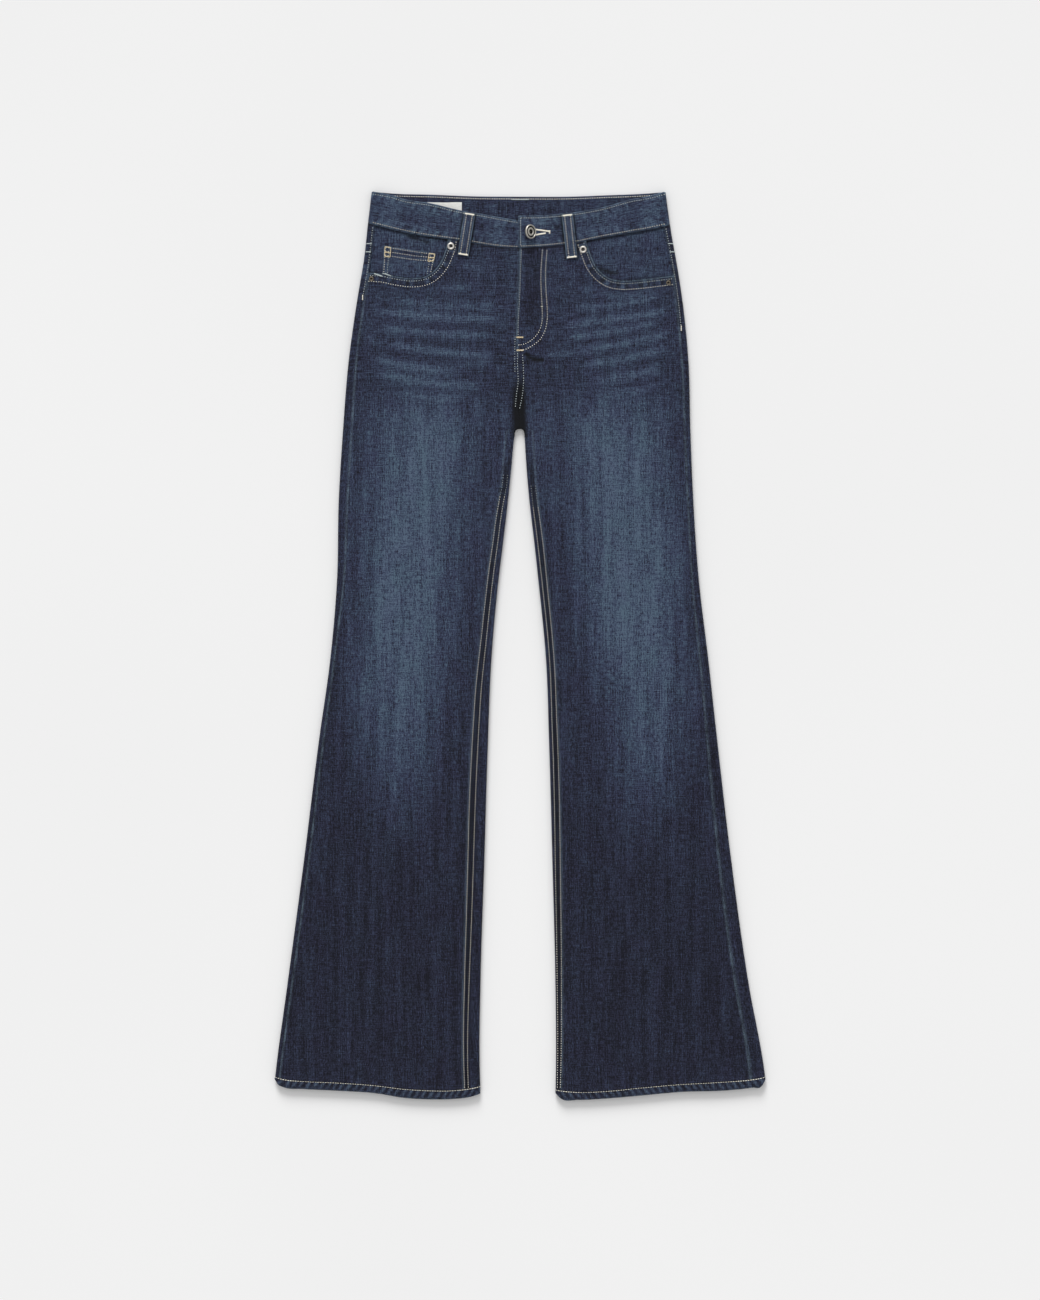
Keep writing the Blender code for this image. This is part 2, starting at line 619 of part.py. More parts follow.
def buttonhole(band, collection):
    """Cuts the buttonhole, spread open by the shank, through the right end of the band."""
    mesh = bpy.data.meshes.new("buttonhole_cutter")
    shape = bmesh.new()
    low = [shape.verts.new((x * MM, (SLOT_Y + y) * MM, 0)) for x, y in SLOT_OUTLINE]
    face = shape.faces.new(low)
    lifted = bmesh.ops.extrude_face_region(shape, geom=[face])["geom"]
    moved = [item for item in lifted if isinstance(item, bmesh.types.BMVert)]
    bmesh.ops.translate(shape, verts=moved, vec=(0, 0, 20 * MM))
    bmesh.ops.translate(shape, verts=shape.verts[:], vec=(0, 0, SLOT_FLOOR * MM))
    bmesh.ops.recalc_face_normals(shape, faces=shape.faces[:])
    shape.to_mesh(mesh)
    shape.free()
    cutter = bpy.data.objects.new("buttonhole_cutter", mesh)
    collection.objects.link(cutter)
    cutter.hide_render = True
    cutter.display_type = "WIRE"
    cut = band.modifiers.new("buttonhole", "BOOLEAN")
    cut.operation = "DIFFERENCE"
    cut.object = cutter


def pocket_facing(leg, finish, collection):
    """The cloth seen inside the pocket opening; its lower edge lies under the front."""
    count = OPENING_COLUMNS + 1
    t = np.linspace(0, 1, count)
    step = t * (len(POCKET_OPENING[leg.name]) - 1)
    low_w = leg.opening_w(step) - FACING_UNDER_W * (1 - t)
    low_y = leg.opening_y(step) - FACING_UNDER_Y + 4 * t
    high_w = low_w[0] + 2 + (float(leg.outseam(504)) - low_w[0] - 2) * t
    high_y = leg.band_seam(high_w) - HALF_GAP
    rows = []
    for part in (0, 0.33, 0.67, 1):
        w = low_w + (high_w - low_w) * part
        y = low_y + (high_y - low_y) * part
        w[-1] = float(leg.outseam(y[-1])) - HALF_GAP
        z = TOP + leg.relief(w, y) - FACING_DROP
        rows.append(np.stack((w, y, z), axis=1))
    outer = np.array(rows)
    inner = outer - np.array((0, 0, PATCH_CLOTH))
    return cloth_wall("pocket_facing_" + leg.name, leg.mirrored(outer), leg.mirrored(inner), finish, collection)


def coin_pocket(leg, finish, collection):
    """The small pocket on the left facing, cut off below by the pocket opening."""
    line = np.linspace(0, len(POCKET_OPENING[leg.name]) - 1, 60)
    opening = Profile(tuple(zip(leg.opening_w(line), leg.opening_y(line))))
    t = np.linspace(0, 1, 7)
    high_w = COIN_TOP_OUTER[0] + (COIN_TOP_INNER[0] - COIN_TOP_OUTER[0]) * t
    high_y = COIN_TOP_OUTER[1] + (COIN_TOP_INNER[1] - COIN_TOP_OUTER[1]) * t
    low_w = COIN_LOW_OUTER + (COIN_LOW_INNER - COIN_LOW_OUTER) * t
    low_y = opening(low_w) + COIN_CLEARANCE
    rows = []
    for part in (0, 0.4, 0.75, 1):
        w = low_w + (high_w - low_w) * part
        y = low_y + (high_y - low_y) * part
        z = TOP + leg.relief(w, y) - FACING_DROP + SEAM_GAP
        rows.append(leg.mirrored(np.stack((w, y, z), axis=1)))
    return patch("coin_pocket", np.array(rows), PATCH_CLOTH, finish, collection)


def loop_points(top, low, width, height):
    """Two edges of a strip of cloth from its top to its low end; height gives z by y and part."""
    top, low = np.array(top, float), np.array(low, float)
    along = (top - low) / np.linalg.norm(top - low)
    across = np.array((along[1], -along[0])) * width / 2
    rows = []
    for part in np.linspace(0, 1, 10):
        middle = low + (top - low) * part
        z = height(middle, part)
        rows.append([(*(middle + side * across), z) for side in (-1, -0.5, 0.5, 1)])
    return np.array(rows)


def belt_loops(finish, collection):
    """Two loops bow over the front of the band; three lie flat beneath the back of it."""
    band_top = UNDER + 2 * FOLD_RADIUS + BAND_PROUD

    def front_z(middle, part):
        x, y = middle
        leg = LEGS["left" if x < 0 else "right"]
        over_band = float(ease((y - leg.band_seam(abs(x)) + 9) / 7))
        rest = TOP + CROWN * 0.3 + (band_top - TOP - CROWN * 0.3) * over_band
        return rest + SEAM_GAP + LOOP_BOW * math.sin(math.pi * part) ** 2

    for name, top, low, width in FRONT_LOOPS:
        patch(name, loop_points(top, low, width, front_z), LOOP_CLOTH, finish, collection)
    for name, top, low, width in BACK_LOOPS:
        points = loop_points(top, low, width, lambda middle, part: 0.0)
        patch(name, points, PATCH_CLOTH, finish, collection)


def back_pocket(leg, finish, collection):
    """A flat five-sided patch beneath the back."""
    curve = bpy.data.curves.new("back_pocket_" + leg.name, "CURVE")
    curve.dimensions = "2D"
    curve.fill_mode = "BOTH"
    curve.extrude = PATCH_CLOTH / 2 * MM
    outline = curve.splines.new("POLY")
    outline.points.add(len(BACK_POCKET_OUTLINE) - 1)
    outline.use_cyclic_u = True
    for point, (across, down) in zip(outline.points, BACK_POCKET_OUTLINE):
        point.co = (leg.side * across * MM, (down + BACK_POCKET_SLOPE * across) * MM, 0, 1)
    curve.materials.append(finish)
    piece = bpy.data.objects.new("back_pocket_" + leg.name, curve)
    collection.objects.link(piece)
    piece.location = Vector((leg.side * BACK_POCKET_MIDDLE, BACK_POCKET_TOP, PATCH_CLOTH / 2)) * MM


def turned(name, profile, place, tilt, steps, finish, collection):
    """A closed body turned from (radius, height) points given from the top down."""
    mesh = bpy.data.meshes.new(name)
    points = [(radius * MM, 0, height * MM) for radius, height in profile]
    mesh.from_pydata(points, [(i, i + 1) for i in range(len(points) - 1)], [])
    piece = add_object(name, mesh, finish, collection)
    screw = piece.modifiers.new("turn", "SCREW")
    screw.axis = "Z"
    screw.steps = steps
    screw.render_steps = steps
    screw.use_merge_vertices = True
    screw.merge_threshold = 0.00001
    screw.use_smooth_shade = False
    piece.matrix_world = Matrix.Translation(Vector(place) * MM) @ Matrix.Rotation(math.radians(tilt), 4, "Y")
    return piece


def fasteners(steel, copper, collection):
    """Shank button, tilted as it hangs in the buttonhole, and the rivets of the front pockets."""
    radius = BUTTON_RADIUS
    profile = (
        (0, 0.4), (1.6, 0.5), (2.6, 1.3), (3.6, 1.3), (4.4, 0.8), (radius - 2.6, 0.8), (radius - 1.7, 1.5),
        (radius - 0.7, 1.4), (radius, 0.6), (radius, -0.6), (radius - 1.2, -1.4), (SHANK_RADIUS + 0.4, -1.8),
        (SHANK_RADIUS, -2.6), (SHANK_RADIUS, -SHANK_LENGTH), (0, -SHANK_LENGTH),
    )
    band_top = UNDER + 2 * FOLD_RADIUS + BAND_PROUD + OVERLAP_LIFT
    rise = radius * math.sin(math.radians(BUTTON_TILT)) + 1.4
    turned("button", profile, (*BUTTON_AT, band_top + rise), BUTTON_TILT, 24, steel, collection)
    for name, (x, y), size in RIVETS:
        profile = (
            (0, 0.6), (0.3 * size, 0.55), (0.42 * size, 1.0), (0.75 * size, 1.0), (size, 0.3), (size, 0), (0, 0),
        )
        finish = copper if "side" in name else steel
        turned(name, profile, (x, y, front_height(x, y) + SEAM_GAP), 0, 16, finish, collection)


def label(finish, collection):
    """A blank woven label inside the back of the waistband."""
    bpy.ops.mesh.primitive_cube_add(size=1)
    piece = bpy.context.object
    piece.name = "label"
    piece.data.materials.append(finish)
    for owner in piece.users_collection:
        owner.objects.unlink(piece)
    collection.objects.link(piece)
    height = UNDER + BAND_CLOTH + SEAM_GAP + LABEL_SIZE[2] / 2
    piece.data.transform(Matrix.Diagonal((*(size * MM for size in LABEL_SIZE), 1)))
    piece.location = Vector((*LABEL_CENTRE, height)) * MM


def main():
    for old in list(bpy.data.objects):
        bpy.data.objects.remove(old)
    garment = bpy.data.collections.new("bootcut_jeans")
    cutters = bpy.data.collections.new("cutters")
    bpy.context.scene.collection.children.link(garment)
    bpy.context.scene.collection.children.link(cutters)
    denim = material("denim", DENIM_MID, 0.9)
    trim = material("denim_dark", DENIM_DARK, 0.9)
    white = material("woven_white", WHITE, 0.8)
    steel = material("pewter", PEWTER, 0.35, 1.0)
    copper = material("aged_copper", COPPER, 0.4, 1.0)
    bands = {}
    for leg in LEGS.values():
        front_panel(leg, denim, garment)
        back_panels(leg, denim, garment)
        hem(leg, trim, garment)
        bands[leg.name] = waistband(leg, trim, garment)
        pocket_facing(leg, trim, garment)
        back_pocket(leg, trim, garment)
    buttonhole(bands["right"], cutters)
    coin_pocket(LEGS["left"], denim, garment)
    belt_loops(trim, garment)
    fasteners(steel, copper, garment)
    label(white, garment)


main()
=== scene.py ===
"""Bootcut jeans laid flat, front up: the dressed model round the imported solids.

Lengths are in millimetres and become metres when a mesh is made. The waist is towards +Y,
the hems towards -Y and the surface that the jeans lie on is at z = 0. Each leg is worked out
in mirrored coordinates, where w is the distance outwards from x = 0, so x = side * w with
side -1 on the left and +1 on the right. A leg is one flattened tube of cloth: straight on
top and below, and turned round a half circle at each fold.
"""
import logging
import math
from dataclasses import dataclass
from enum import Enum
from typing import Callable, Optional, Sequence

import bpy
import numpy as np
from bpy.types import Material, Node, NodeSocket, NodeTree, Object
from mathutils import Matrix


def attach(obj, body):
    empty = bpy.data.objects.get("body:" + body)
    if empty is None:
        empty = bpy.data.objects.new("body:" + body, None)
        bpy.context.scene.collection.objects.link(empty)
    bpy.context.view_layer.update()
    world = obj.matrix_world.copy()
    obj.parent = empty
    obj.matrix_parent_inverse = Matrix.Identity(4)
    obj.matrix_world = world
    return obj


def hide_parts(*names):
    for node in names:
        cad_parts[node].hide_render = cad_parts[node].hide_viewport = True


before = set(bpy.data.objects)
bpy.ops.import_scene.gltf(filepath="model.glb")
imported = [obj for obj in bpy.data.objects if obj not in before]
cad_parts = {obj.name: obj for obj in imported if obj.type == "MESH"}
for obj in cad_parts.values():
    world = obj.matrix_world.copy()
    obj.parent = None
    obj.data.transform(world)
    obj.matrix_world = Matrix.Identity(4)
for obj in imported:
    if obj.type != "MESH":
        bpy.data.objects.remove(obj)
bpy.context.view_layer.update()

logging.basicConfig(level=logging.INFO, format="%(message)s")
LOG = logging.getLogger("jeans")

Array = np.ndarray
UP = np.array((0.0, 0.0, 1.0))
Curve = Callable[[Array], Array]
MM = 0.001

# Thicknesses and levels of the flattened tube, as in the solids.
CLOTH = 1.3
BAND_CLOTH = 2.0
HEM_CLOTH = 2.6
PATCH_CLOTH = 1.0
LOOP_CLOTH = 1.6
SEAM_GAP = 0.3
UNDER = PATCH_CLOTH + SEAM_GAP
FOLD_RADIUS = 2.7
MIDDLE = UNDER + FOLD_RADIUS
TOP = UNDER + 2 * FOLD_RADIUS
BAND_PROUD = 0.5
HEM_PROUD = 0.4
BAND_RADIUS = FOLD_RADIUS + BAND_PROUD / 2
BAND_MIDDLE = MIDDLE + BAND_PROUD / 2
BAND_MIDDLE_Y = 525.0
HEM_RADIUS = (TOP + HEM_PROUD) / 2

# Relief of the front that the solids have too.
CROWN = 0.9
CROWN_REACH = 30
CROWN_TOP_Y = 480
CROWN_FADE = 90
VALLEY_DEPTH = 1.2
VALLEY_WIDTH = 9
VALLEY_TOP_Y = 370
VALLEY_END_Y = 200
FLY_LIFT = 0.9
FLY_WIDTH = 27
FLY_SOFT = 12
FLY_END_Y = 361
FLY_CURVE_Y = 392

CROTCH_Y = 260.6

# Where a row that bends with the hem is read for its place at the outer and the inner fold.
HEM_OUTER_W = 290.0
HEM_INNER_W = 50.0

# Folds at the sides of the garment and between the legs: y, distance w from x = 0.
OUTER_FOLD = {
    "left": ((545, 178.2), (504, 183), (463, 187.6), (415, 195.6), (343, 205.7), (259, 212.6),
             (175, 217.7), (79, 219.8), (-17, 228), (-113, 241.4), (-257, 259.4),
             (-401, 278.6), (-509, 293), (-524, 294.6)),
    "right": ((545, 174.8), (504, 180.4), (463, 187.6), (415, 195), (343, 202.2), (259, 204.6),
              (175, 208.1), (79, 214.8), (-17, 226.2), (-113, 236.8), (-257, 253.6),
              (-401, 273.8), (-509, 293.2), (-524, 295)),
}
INNER_FOLD = {
    "left": ((260.6, 0), (259.5, 3.6), (257, 5.5), (252, 6.6), (247, 7.3), (235, 8.6), (223, 9.6),
             (175, 14.4), (127, 20), (79, 25.8), (-17, 34.4), (-113, 38.4), (-257, 42.8),
             (-401, 47.4), (-497, 48.6), (-540, 47.4)),
    "right": ((260.6, 0), (259.5, 3.2), (257, 4.8), (252, 5.4), (247, 5.7), (235, 6.4), (223, 7.2),
              (175, 11.2), (127, 16.8), (79, 22), (-17, 31.2), (-113, 34.8), (-257, 38.8),
              (-401, 42.4), (-497, 43.2), (-540, 42.6)),
}

# Seam between the two fronts, and between the two backs: y, x.
CENTRE_FRONT = ((478, -0.6), (427, -2.4), (370, -4.4), (345, -2.8), (314, -1.4), (291, -1.4),
                (260.6, 0))
CENTRE_BACK = ((545, 0), (260.6, 0))

# Outseam: y, how far it lies inside the fold at the side.
OUTSEAM_INSET = {
    "left": ((505, 8), (440, 8), (380, 8), (322, 9), (203, 10), (111, 8.5), (66, 7), (11, 4.6),
             (-60, 4.2), (-113, 4.6), (-535, 4.8)),
    "right": ((505, 7.5), (440, 6.6), (380, 7.2), (259, 6), (124, 6.2), (68, 7.6), (-48, 9.8),
              (-168, 12.4), (-277, 14.6), (-445, 16), (-535, 17.5)),
}
# Inseam: y, distance round the cloth from the middle of the inner fold up to the seam.
INSEAM_RISE = {
    "left": ((260.6, 0), (230, 1.5), (200, 3.5), (169, 5.8), (111, 6.3), (9, 6.6), (-67, 9.6),
             (-168, 11.8), (-353, 12.2), (-449, 13.2), (-540, 13.5)),
    "right": ((260.6, 0), (200, 1.5), (140, 3.2), (74, 3.8), (-70, 4.2), (-168, 4.8), (-280, 4.6),
              (-377, 4.4), (-497, 3.6), (-540, 3.4)),
}

# Where each hem starts and ends: w, y.
HEM_TOP = {
    "left": ((47, -528), (62, -531), (84, -533), (115, -532.6), (144, -530.6), (168, -527.6),
             (220, -523.6), (257, -522), (284, -519.6), (295, -517)),
    "right": ((42, -532.6), (70, -535), (101, -534), (144, -529.8), (192, -525.6), (226, -523.7),
              (253, -522), (276, -520.2), (295, -517)),
}
HEM_EDGE = {
    "left": ((47, -537.6), (60, -541.6), (78, -543.8), (108, -544.4), (144, -542), (168, -537.8),
             (220, -534), (260, -532), (284, -529.8), (290, -527), (294.6, -521)),
    "right": ((42, -537), (49, -543.4), (70, -545), (101, -543.6), (144, -540), (192, -535.6),
              (249, -533.6), (278, -530.4), (291, -527.5), (295, -520.5)),
}

# Waistband. Its seam and its top edge: w, y, in front and behind.
BAND_SEAM_FRONT = {
    "left": ((-40, 477), (0, 477.3), (18, 478.1), (74, 486.5), (128, 494.6), (171, 504.6),
             (183, 507.6)),
    "right": ((-40, 477.4), (0, 477.6), (48, 481), (68, 483.8), (87, 487.8), (128, 495.4),
              (157, 500.6), (169, 503.1), (180.4, 505.4)),
}
BAND_TOP_FRONT = {
    "left": ((-40, 509.6), (0, 510.6), (49, 519), (69, 522.2), (109, 531.4), (140, 536.2),
             (152, 540), (178.2, 545.2)),
    "right": ((-40, 516), (0, 516.1), (24, 516.4), (48.5, 518.4), (65, 520.2), (103, 527.2),
              (133, 535.6), (157, 540), (174.8, 544.8)),
}
BAND_SEAM_BACK = {
    "left": ((0, 502), (120, 502.2), (171, 504.6), (183, 507.6)),
    "right": ((0, 502), (120, 501.8), (169, 503.1), (180.4, 505.4)),
}
BAND_TOP_BACK = {
    "left": ((0, 539.4), (52, 539.8), (110, 541.9), (151, 543), (178.2, 545.2)),
    "right": ((0, 539.4), (55, 539.4), (102, 541), (157, 543.4), (174.8, 544.8)),
}
UNDERLAP_END = -26
UNDERLAP_SINK = 1.6
OVERLAP_END = -1.9
OVERLAP_LIFT = 1.0
LAP_START = {"left": 18, "right": 45}
LAP_FULL = {"left": 4, "right": 20}

# Pocket openings, from the waistband to the outseam: w, y.
POCKET_OPENING = {
    "left": ((86.5, 488.4), (88.2, 478.2), (91, 470.2), (95.6, 459.8), (102, 451.4), (112, 444),
             (128, 441), (146, 442.8), (164.4, 446.6), (182, 447.8)),
    "right": ((79.2, 486.2), (80.9, 480.2), (84.8, 469.4), (89.8, 457.4), (97.8, 447.5),
              (107.8, 440.8), (120, 438.2), (142, 439), (163, 441.4), (184, 444)),
}
# The cloth beside an opening lies outside this w and above this y.
OPENING_ZONE_W = 60
OPENING_ZONE_Y = 380
FACING_DROP = CLOTH + SEAM_GAP
FACING_UNDER_W = 10
FACING_UNDER_Y = 13

# Coin pocket on the left facing, corners as (w, y).
COIN_TOP_OUTER = (163.1, 480.5)
COIN_TOP_INNER = (100.6, 470.8)
COIN_LOW_OUTER = 165.4
COIN_LOW_INNER = 105.6
COIN_CLEARANCE = 0.6

# Yoke seam behind: height at the outseam and at the centre.
YOKE_SIDE_Y = 478
YOKE_CENTRE_Y = 432
# Belt loops: middle of each end as (x, y), and the width.
FRONT_LOOPS = (
    ("belt_loop_front_left", (-60.2, 519.6), (-68.4, 467.8), 13.5),
    ("belt_loop_front_right", (56.6, 518.4), (62.4, 464.5), 13.5),
)
BACK_LOOPS = (
    ("belt_loop_back_left", (-104, 538.5), (-106, 486), 13.5),
    ("belt_loop_back_centre", (0, 536.5), (0, 484), 20),
    ("belt_loop_back_right", (104, 538), (106, 486), 13.5),
)
LOOP_BOW = 1.6

# Back pockets in outline: distance from the pocket's middle line, y below its top edge.
BACK_POCKET_MIDDLE = 88
BACK_POCKET_TOP = 434
BACK_POCKET_SLOPE = 0.1
BACK_POCKET_OUTLINE = ((-66, 0), (66, 0), (60, -112), (0, -142), (-60, -112))

# Button and rivets.
BUTTON_AT = (12.6, 496)
BUTTON_RADIUS = 8.7
BUTTON_TILT = 45
BUTTON_PROUD = 1.4
RIVET_PROUD = 0.12
SLOT_OUTLINE = ((2.5, 1.5), (4.5, 3.3), (12, 3.3), (34, 1.2), (34.8, 0.2),
                (34, -0.6), (12, -3.3), (4.5, -3.3), (2.5, -1.5))
SLOT_Y = 496
RIVETS = (
    ("rivet_front_left", (-83, 479.6), 4.4),
    ("rivet_front_right", (75.6, 475.6), 4.4),
    ("rivet_side_left", (-178.4, 440.4), 2.8),
    ("rivet_side_right", (178, 435.6), 2.8),
)

LABEL_CENTRE = (-90.6, 521.4)
LABEL_SIZE = (41.5, 22, 0.5)

# Stitching, in mm from the seam or the edge that a row follows, and the width of its groove.
INSEAM_ROWS = {
    "left": ((-540, 2.4, 6.8), (-168, 2.4, 9.4), (31, 2.6, 8.8), (169, 1.1, 6.6), (200, 0.8, 6)),
    "right": ((-540, -0.6, 2.8), (-377, -0.4, 4.8), (-168, 1.1, 7.1), (31, 1.6, 7), (140, 1.2, 7.4),
              (200, 0.8, 6)),
}
INSEAM_ROWS_TOP = {"left": 206, "right": 193}
OPENING_ROWS = (3.4, 10.4)
OPENING_BAND = 12
BAND_ROWS = (2.0, 2.8)
BAND_END_ROW = 2.6
GROOVE_WIDTH = 0.8
FLY_EDGE_ROW = 2.3
FLY_CURVES = (
    ((27, 476), (25, 445), (26, 415), (26.6, 403), (26.2, 387.6), (22.4, 376.6), (15.6, 368.2),
     (7.2, 362.8), (-2.9, 360.6)),
    ((32.5, 475.4), (30.8, 453.4), (30.8, 433), (32.2, 411.4), (32.5, 390.1), (30, 378.4),
     (24, 367.4), (15.6, 360.6), (6.5, 355.6), (-2.6, 353.6)),
)
CROTCH_ROWS = (
    ((-3, 355), (-3, 337), (-2.5, 314), (-4.3, 301), (-5.6, 286)),
    ((3.1, 350), (4.3, 327), (4.3, 315), (3.1, 303.6), (-0.4, 284)),
    ((-5.9, 372), (-6.2, 350), (-6.0, 328)),
)
SIDE_ROW_END = {"left": 418, "right": 381}
INSEAM_ROWS_END = -531
# The hem's row of stitching, as a share of the hem's height from its fold.
ROW_SHARE = 0.9
# The right half lies this much further along the cut cloth, so that the halves don't match.
HALVES_APART = 2300

# Creases and wash lines: start, middle and end as (x, y), width across and height, in mm.
# They lie across the hips and run on as soft folds down the legs. Each fades out over this
# share of its length at both ends.
CREASE_ENDS = 0.17
LEFT_CREASES = (
    ((-102, 432), (-84, 430), (-58, 431), 3.4, 0.30),
    ((-160, 414), (-110, 409), (-20, 410), 4.2, 0.34),
    ((-178, 402), (-124, 396), (-14, 393), 4.4, 0.46),
    ((-176, 383), (-112, 376), (-26, 373), 4.2, 0.38),
    ((-166, 363), (-116, 355), (-28, 347), 4.2, 0.50),
    ((-182, 347), (-138, 336), (-70, 329), 4.6, 0.44),
    ((-178, 328), (-116, 317), (-42, 311), 4.8, 0.42),
    ((-150, 303), (-110, 298), (-60, 296), 5.0, 0.24),
    ((-188, 372), (-176, 366), (-160, 362), 3.4, 0.20),
    ((-70, 458), (-52, 452), (-30, 450), 4.0, 0.20),
    ((-30, 343), (-52, 339), (-76, 338), 3.4, 0.22),
)
RIGHT_CREASES = (
    ((22.8, 470), (19.5, 430), (16.3, 386), 1.9, -0.34),
    ((11.5, 440), (11.0, 410), (9.8, 384), 1.7, -0.20),
    ((70, 426), (110, 420), (176, 431), 3.6, 0.24),
    ((58, 404), (104, 408), (172, 420), 4.2, 0.36),
    ((44, 384), (104, 390), (184, 404), 4.2, 0.44),
    ((46, 368), (94, 374), (176, 391), 4.2, 0.40),
    ((58, 352), (110, 360), (188, 376), 4.4, 0.46),
    ((70, 337), (118, 343), (180, 358), 4.6, 0.44),
    ((84, 317), (126, 323), (172, 334), 4.8, 0.36),
    ((96, 300), (130, 304), (166, 311), 5.0, 0.22),
    ((26, 348), (44, 349), (66, 352), 2.6, 0.34),
    ((48, 456), (60, 446), (70, 436), 4.0, 0.18),
)
# Small tucks: sunk in the relief, with their troughs darkened by painted shade.
DARK_TUCKS = (
    ((5, 352), (9, 349), (13, 343), 1.5, -0.7),
    ((12, 345), (22, 343.4), (30, 343), 1.8, -0.7),
    ((6, 346), (10, 340), (12, 337), 1.6, -0.35),
    ((-140, 493), (-122, 488), (-106, 482.5), 1.6, -0.5),
    ((92, 454), (106, 449), (122, 447), 2.0, -0.5),
)
LEG_FOLDS = {
    "left": (
        ((-150, 250), (-142, 60), (-168, -120), 15, 0.45),
        ((-78, 230), (-96, 80), (-104, -60), 14, 0.40),
        ((-196, 120), (-206, -60), (-228, -230), 11, 0.35),
        ((-60, 40), (-74, -120), (-80, -300), 13, 0.40),
        ((-130, -130), (-150, -280), (-176, -430), 18, 0.45),
        ((-210, -260), (-232, -380), (-250, -500), 14, 0.40),
        ((-104, -330), (-112, -420), (-120, -515), 16, 0.35),
    ),
    "right": (
        ((84, 240), (98, 70), (110, -90), 15, 0.42),
        ((150, 260), (158, 90), (182, -110), 15, 0.45),
        ((192, 150), (204, -30), (226, -210), 11, 0.35),
        ((56, 60), (66, -110), (74, -290), 13, 0.38),
        ((128, -120), (146, -290), (170, -440), 18, 0.45),
        ((206, -240), (228, -370), (250, -500), 14, 0.40),
        ((96, -320), (106, -420), (112, -515), 16, 0.35),
    ),
}
LOW_TUCKS_TOP = 440
# Dimples down the fly, between its stitches, by y.
FLY_DIMPLES = (466, 449, 432, 414, 398, 384)
UNDER_FOLDS = (
    ((60, 300), (110, 292), (170, 300), 7, 0.16),
    ((70, 262), (120, 256), (190, 268), 8, 0.16),
    ((60, 40), (110, 30), (190, 44), 9, 0.14),
    ((70, 6), (120, -4), (200, 10), 9, 0.14),
    ((90, 200), (110, 80), (130, -60), 14, 0.14),
    ((120, -120), (150, -280), (190, -440), 16, 0.14),
)
BAND_CREASES = (
    ((144, 534), (152, 528), (160, 520), 2.2, 0.5),
    ((118, 500), (130, 505), (146, 508), 2.4, 0.3),
)

# Fade down the thigh by y: the w of its middle line, its reach to each side and its strength,
# and how faded the cloth is without it.
FADE_MIDDLE = {
    "left": ((330, 112), (250, 120), (170, 126), (90, 134), (0, 140), (-65, 144), (-130, 142),
             (-220, 146)),
    "right": ((330, 112), (250, 118), (170, 124), (90, 132), (0, 140), (-65, 150), (-130, 150),
              (-220, 152)),
}
FADE_REACH = {
    "left": ((330, 62), (250, 58), (100, 56), (-20, 52), (-130, 42), (-220, 34)),
    "right": ((330, 62), (250, 60), (100, 56), (-20, 52), (-130, 44), (-220, 34)),
}
FADE_STRENGTH = (
    (520, 0.0), (440, 0.02), (400, 0.05), (340, 0.13), (300, 0.42), (250, 0.80), (170, 0.95),
    (60, 1.0), (-20, 0.92), (-90, 0.72), (-140, 0.54), (-185, 0.32), (-225, 0.12), (-262, 0.0),
)
BASE_FADE = (
    (545, 0.44), (400, 0.43), (300, 0.36), (60, 0.22), (-100, 0.14), (-190, 0.07), (-280, 0.02),
    (-545, 0.0),
)


class Side(Enum):
    """Which half of the garment, as seen from above; the value is the sign of its x."""

    LEFT = -1
    RIGHT = 1

    @property
    def word(self) -> str:
        """The half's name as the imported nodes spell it."""
        return self.name.lower()


def ease(value: Array) -> Array:
    """Smooth step from 0 to 1, 3t^2 - 2t^3 of the value held between 0 and 1."""
    t = np.clip(value, 0, 1)
    return t * t * (3 - 2 * t)


def bell(off: Array, width: float) -> Array:
    """Bell curve exp(-(off / width)^2 / 2)."""
    return np.exp(-(off / width) ** 2 / 2)


def peak(off: Array, width: float) -> Array:
    """Narrower bell curve exp(-(off / width)^2)."""
    return np.exp(-(off / width) ** 2)


def held(*values: Array) -> tuple[Array, ...]:
    """Each value held between 0 and 1."""
    return tuple(np.clip(value, 0, 1) for value in values)


def cell(value: float) -> Array:
    """A grid of one row and one column."""
    return np.full((1, 1), value)


def read_at(curve: Curve, place: float) -> float:
    """Value of a curve at one place."""
    return float(curve(np.float64(place)))


def run_along(points: Array) -> Array:
    """Distance along a line to each of its points."""
    return np.concatenate(([0.0], np.cumsum(np.linalg.norm(np.diff(points, axis=0), axis=1))))


class Profile:
    """A smooth line through (position, value) rows, cubic between rows."""

    def __init__(self, rows: Sequence[Sequence[float]]) -> None:
        """Sorts the rows by position and works out the slope at each."""
        self.at, self.value = np.array(sorted(tuple(row)[:2] for row in rows), float).T
        self.slope = np.gradient(self.value, self.at)

    def __call__(self, at: Array) -> Array:
        """Value at each position, held at the first and last row outside them."""
        at = np.clip(np.asarray(at, float), self.at[0], self.at[-1])
        k = np.clip(np.searchsorted(self.at, at, side="right") - 1, 0, len(self.at) - 2)
        span = self.at[k + 1] - self.at[k]
        t = (at - self.at[k]) / span
        rise = self.value[k + 1] - self.value[k]
        start = t * (1 - t) ** 2 * span * self.slope[k]
        end = t ** 2 * (t - 1) * span * self.slope[k + 1]
        return self.value[k] + rise * t ** 2 * (3 - 2 * t) + start + end


